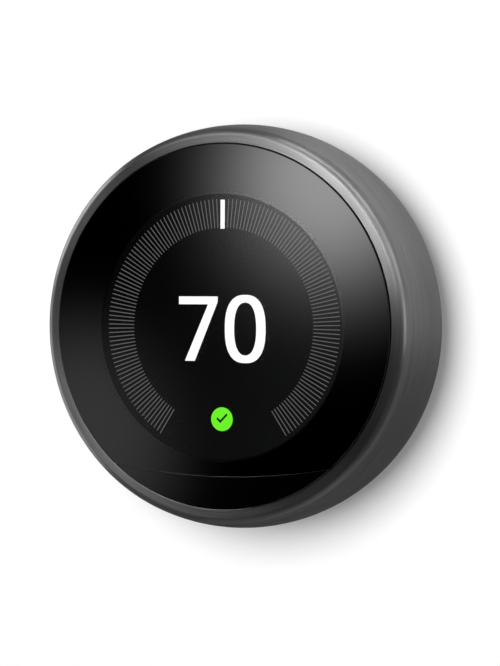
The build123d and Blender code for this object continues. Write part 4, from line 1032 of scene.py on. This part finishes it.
LAMPS = (                              # name, direction, metres away, metres across, radiance, what it lights
    ("wall_lamp", heading(5.0, 7.0), 1.3, 0.68, 11.0, wall_only),
    ("key_lamp", heading(-6.0, 18.0), 1.3, 0.36, 12.0, body_light),
    ("left_box", heading(-22.0, 32.0), 1.2, 0.8, 3.0, body_light),
    ("right_box", heading(40.0, 25.0), 1.2, 0.8, 1.5, body_light),
    ("rim_lamp_1", along_wall(4.0, 0.05), 1.1, 0.55, 5.5, ring_only),
    ("rim_lamp_2", along_wall(30.0, 0.05), 1.1, 0.55, 7.5, ring_only),
    ("rim_lamp_3", along_wall(56.0, 0.05), 1.1, 0.55, 9.0, ring_only),
    ("rim_lamp_4", along_wall(82.0, 0.05), 1.1, 0.55, 9.5, ring_only),
    ("low_lamp", along_wall(238.0, 0.12), 1.1, 0.7, 8.0, lens_only),
    ("side_lamp_high", heading(-84.0, 20.0), 1.3, 0.6, 15.0, ring_only),
    ("side_lamp_low", heading(-86.0, -12.0), 1.3, 0.9, 5.0, ring_only),
    ("ring_key_right", heading(2.0, 12.0), 1.3, 0.34, 11.5, ring_only),
    ("ring_key_left", heading(-11.0, 20.0), 1.3, 0.34, 8.5, ring_only),
)
for settings in LAMPS:
    lamp(*settings)
print("lamps:", len(LAMPS))

# %% [markdown]
# The lens mirrors only a few degrees of the room, and two soft glows lie on it. Cards could be hung up by
# trial. Here each is placed by following the camera's line to a point of the lens and mirroring it there,
# and its size follows from a second point.


# %% Where the lens looks
def mirrored(radius, angle):
    """Direction the camera sees in the lens at a polar place: the line of sight turned about the normal."""
    x, z = radius * math.cos(math.radians(angle)), radius * math.sin(math.radians(angle))
    spot = np.array((x, -dome(radius), z))
    normal = spot - np.array((0.0, -(DOME_APEX - DOME_R), 0.0))
    normal /= np.linalg.norm(normal)
    sight = camera_place / MM - spot
    sight /= np.linalg.norm(sight)
    return 2 * (normal @ sight) * normal - sight


UPPER_ANGLE, LOWER_ANGLE = 52.0, 215.0  # degrees round the lens
upper = mirrored(39.0, UPPER_ANGLE)
lower = mirrored(38.0, LOWER_ANGLE)
upper_half = float(np.linalg.norm(upper - mirrored(21.0, UPPER_ANGLE)))
lower_half = float(np.linalg.norm(lower - mirrored(19.0, LOWER_ANGLE)))
print("card directions:", upper.round(3), lower.round(3))
print("half sizes:", round(upper_half, 3), round(lower_half, 3))

# %% [markdown]
# Cards in the room would show in other views, so they are soft patches of the world instead. The room
# behind the wall is pale. The room in front is dim, and darker still where the lens looks, so that the
# screen stays black. The camera itself sees plain white past the wall.

# %% The room, with two soft cards
ROOM_BEHIND = 0.8
ROOM_IN_FRONT = 0.25
DARK_HALF = 0.62                       # half size of the dark patch that the lens mirrors
world = bpy.data.worlds.new("room")
bpy.context.scene.world = world
world.use_nodes = True
world.node_tree.nodes.clear()
looking = add(world, "ShaderNodeTexCoord").outputs["Generated"]


def soft_card(centre, half_size, radiance, edge):
    """Brightness falls as a half to the power of (distance over half size) to the power of edge."""
    away = add(world, "ShaderNodeVectorMath", operation="DISTANCE", IN1=tuple(float(c) for c in centre))
    join(world, looking, away.inputs[0])
    share = worked(world, "DIVIDE", away.outputs["Value"], half_size)
    fall = worked(world, "POWER", 0.5, worked(world, "POWER", share, edge))
    return worked(world, "MULTIPLY", fall, radiance)


cards = worked(world, "ADD", soft_card(upper, upper_half, 3.6, 2.5), soft_card(lower, lower_half, 0.4, 3.2))
dark_patch = soft_card(mirrored(0.0, 0.0), DARK_HALF, 1.0, 8.0)
in_front = worked(world, "MULTIPLY_ADD", dark_patch, -ROOM_IN_FRONT, ROOM_IN_FRONT)
behind = ramp(world, split(world, looking)["Y"], -0.05, 0.05, 0.0, ROOM_BEHIND)
all_light = worked(world, "ADD", cards, worked(world, "MAXIMUM", behind, in_front))
shown = add(world, "ShaderNodeMix", data_type="FLOAT")
join(world, add(world, "ShaderNodeLightPath").outputs["Is Camera Ray"], shown.inputs["Factor"])
join(world, all_light, shown.inputs["A"])
shown.inputs["B"].default_value = 1.0
backdrop = add(world, "ShaderNodeBackground")
join(world, shown.outputs["Result"], backdrop.inputs["Strength"])
join(world, backdrop.outputs[0], add(world, "ShaderNodeOutputWorld").inputs["Surface"])
print("room nodes:", len(world.node_tree.nodes))
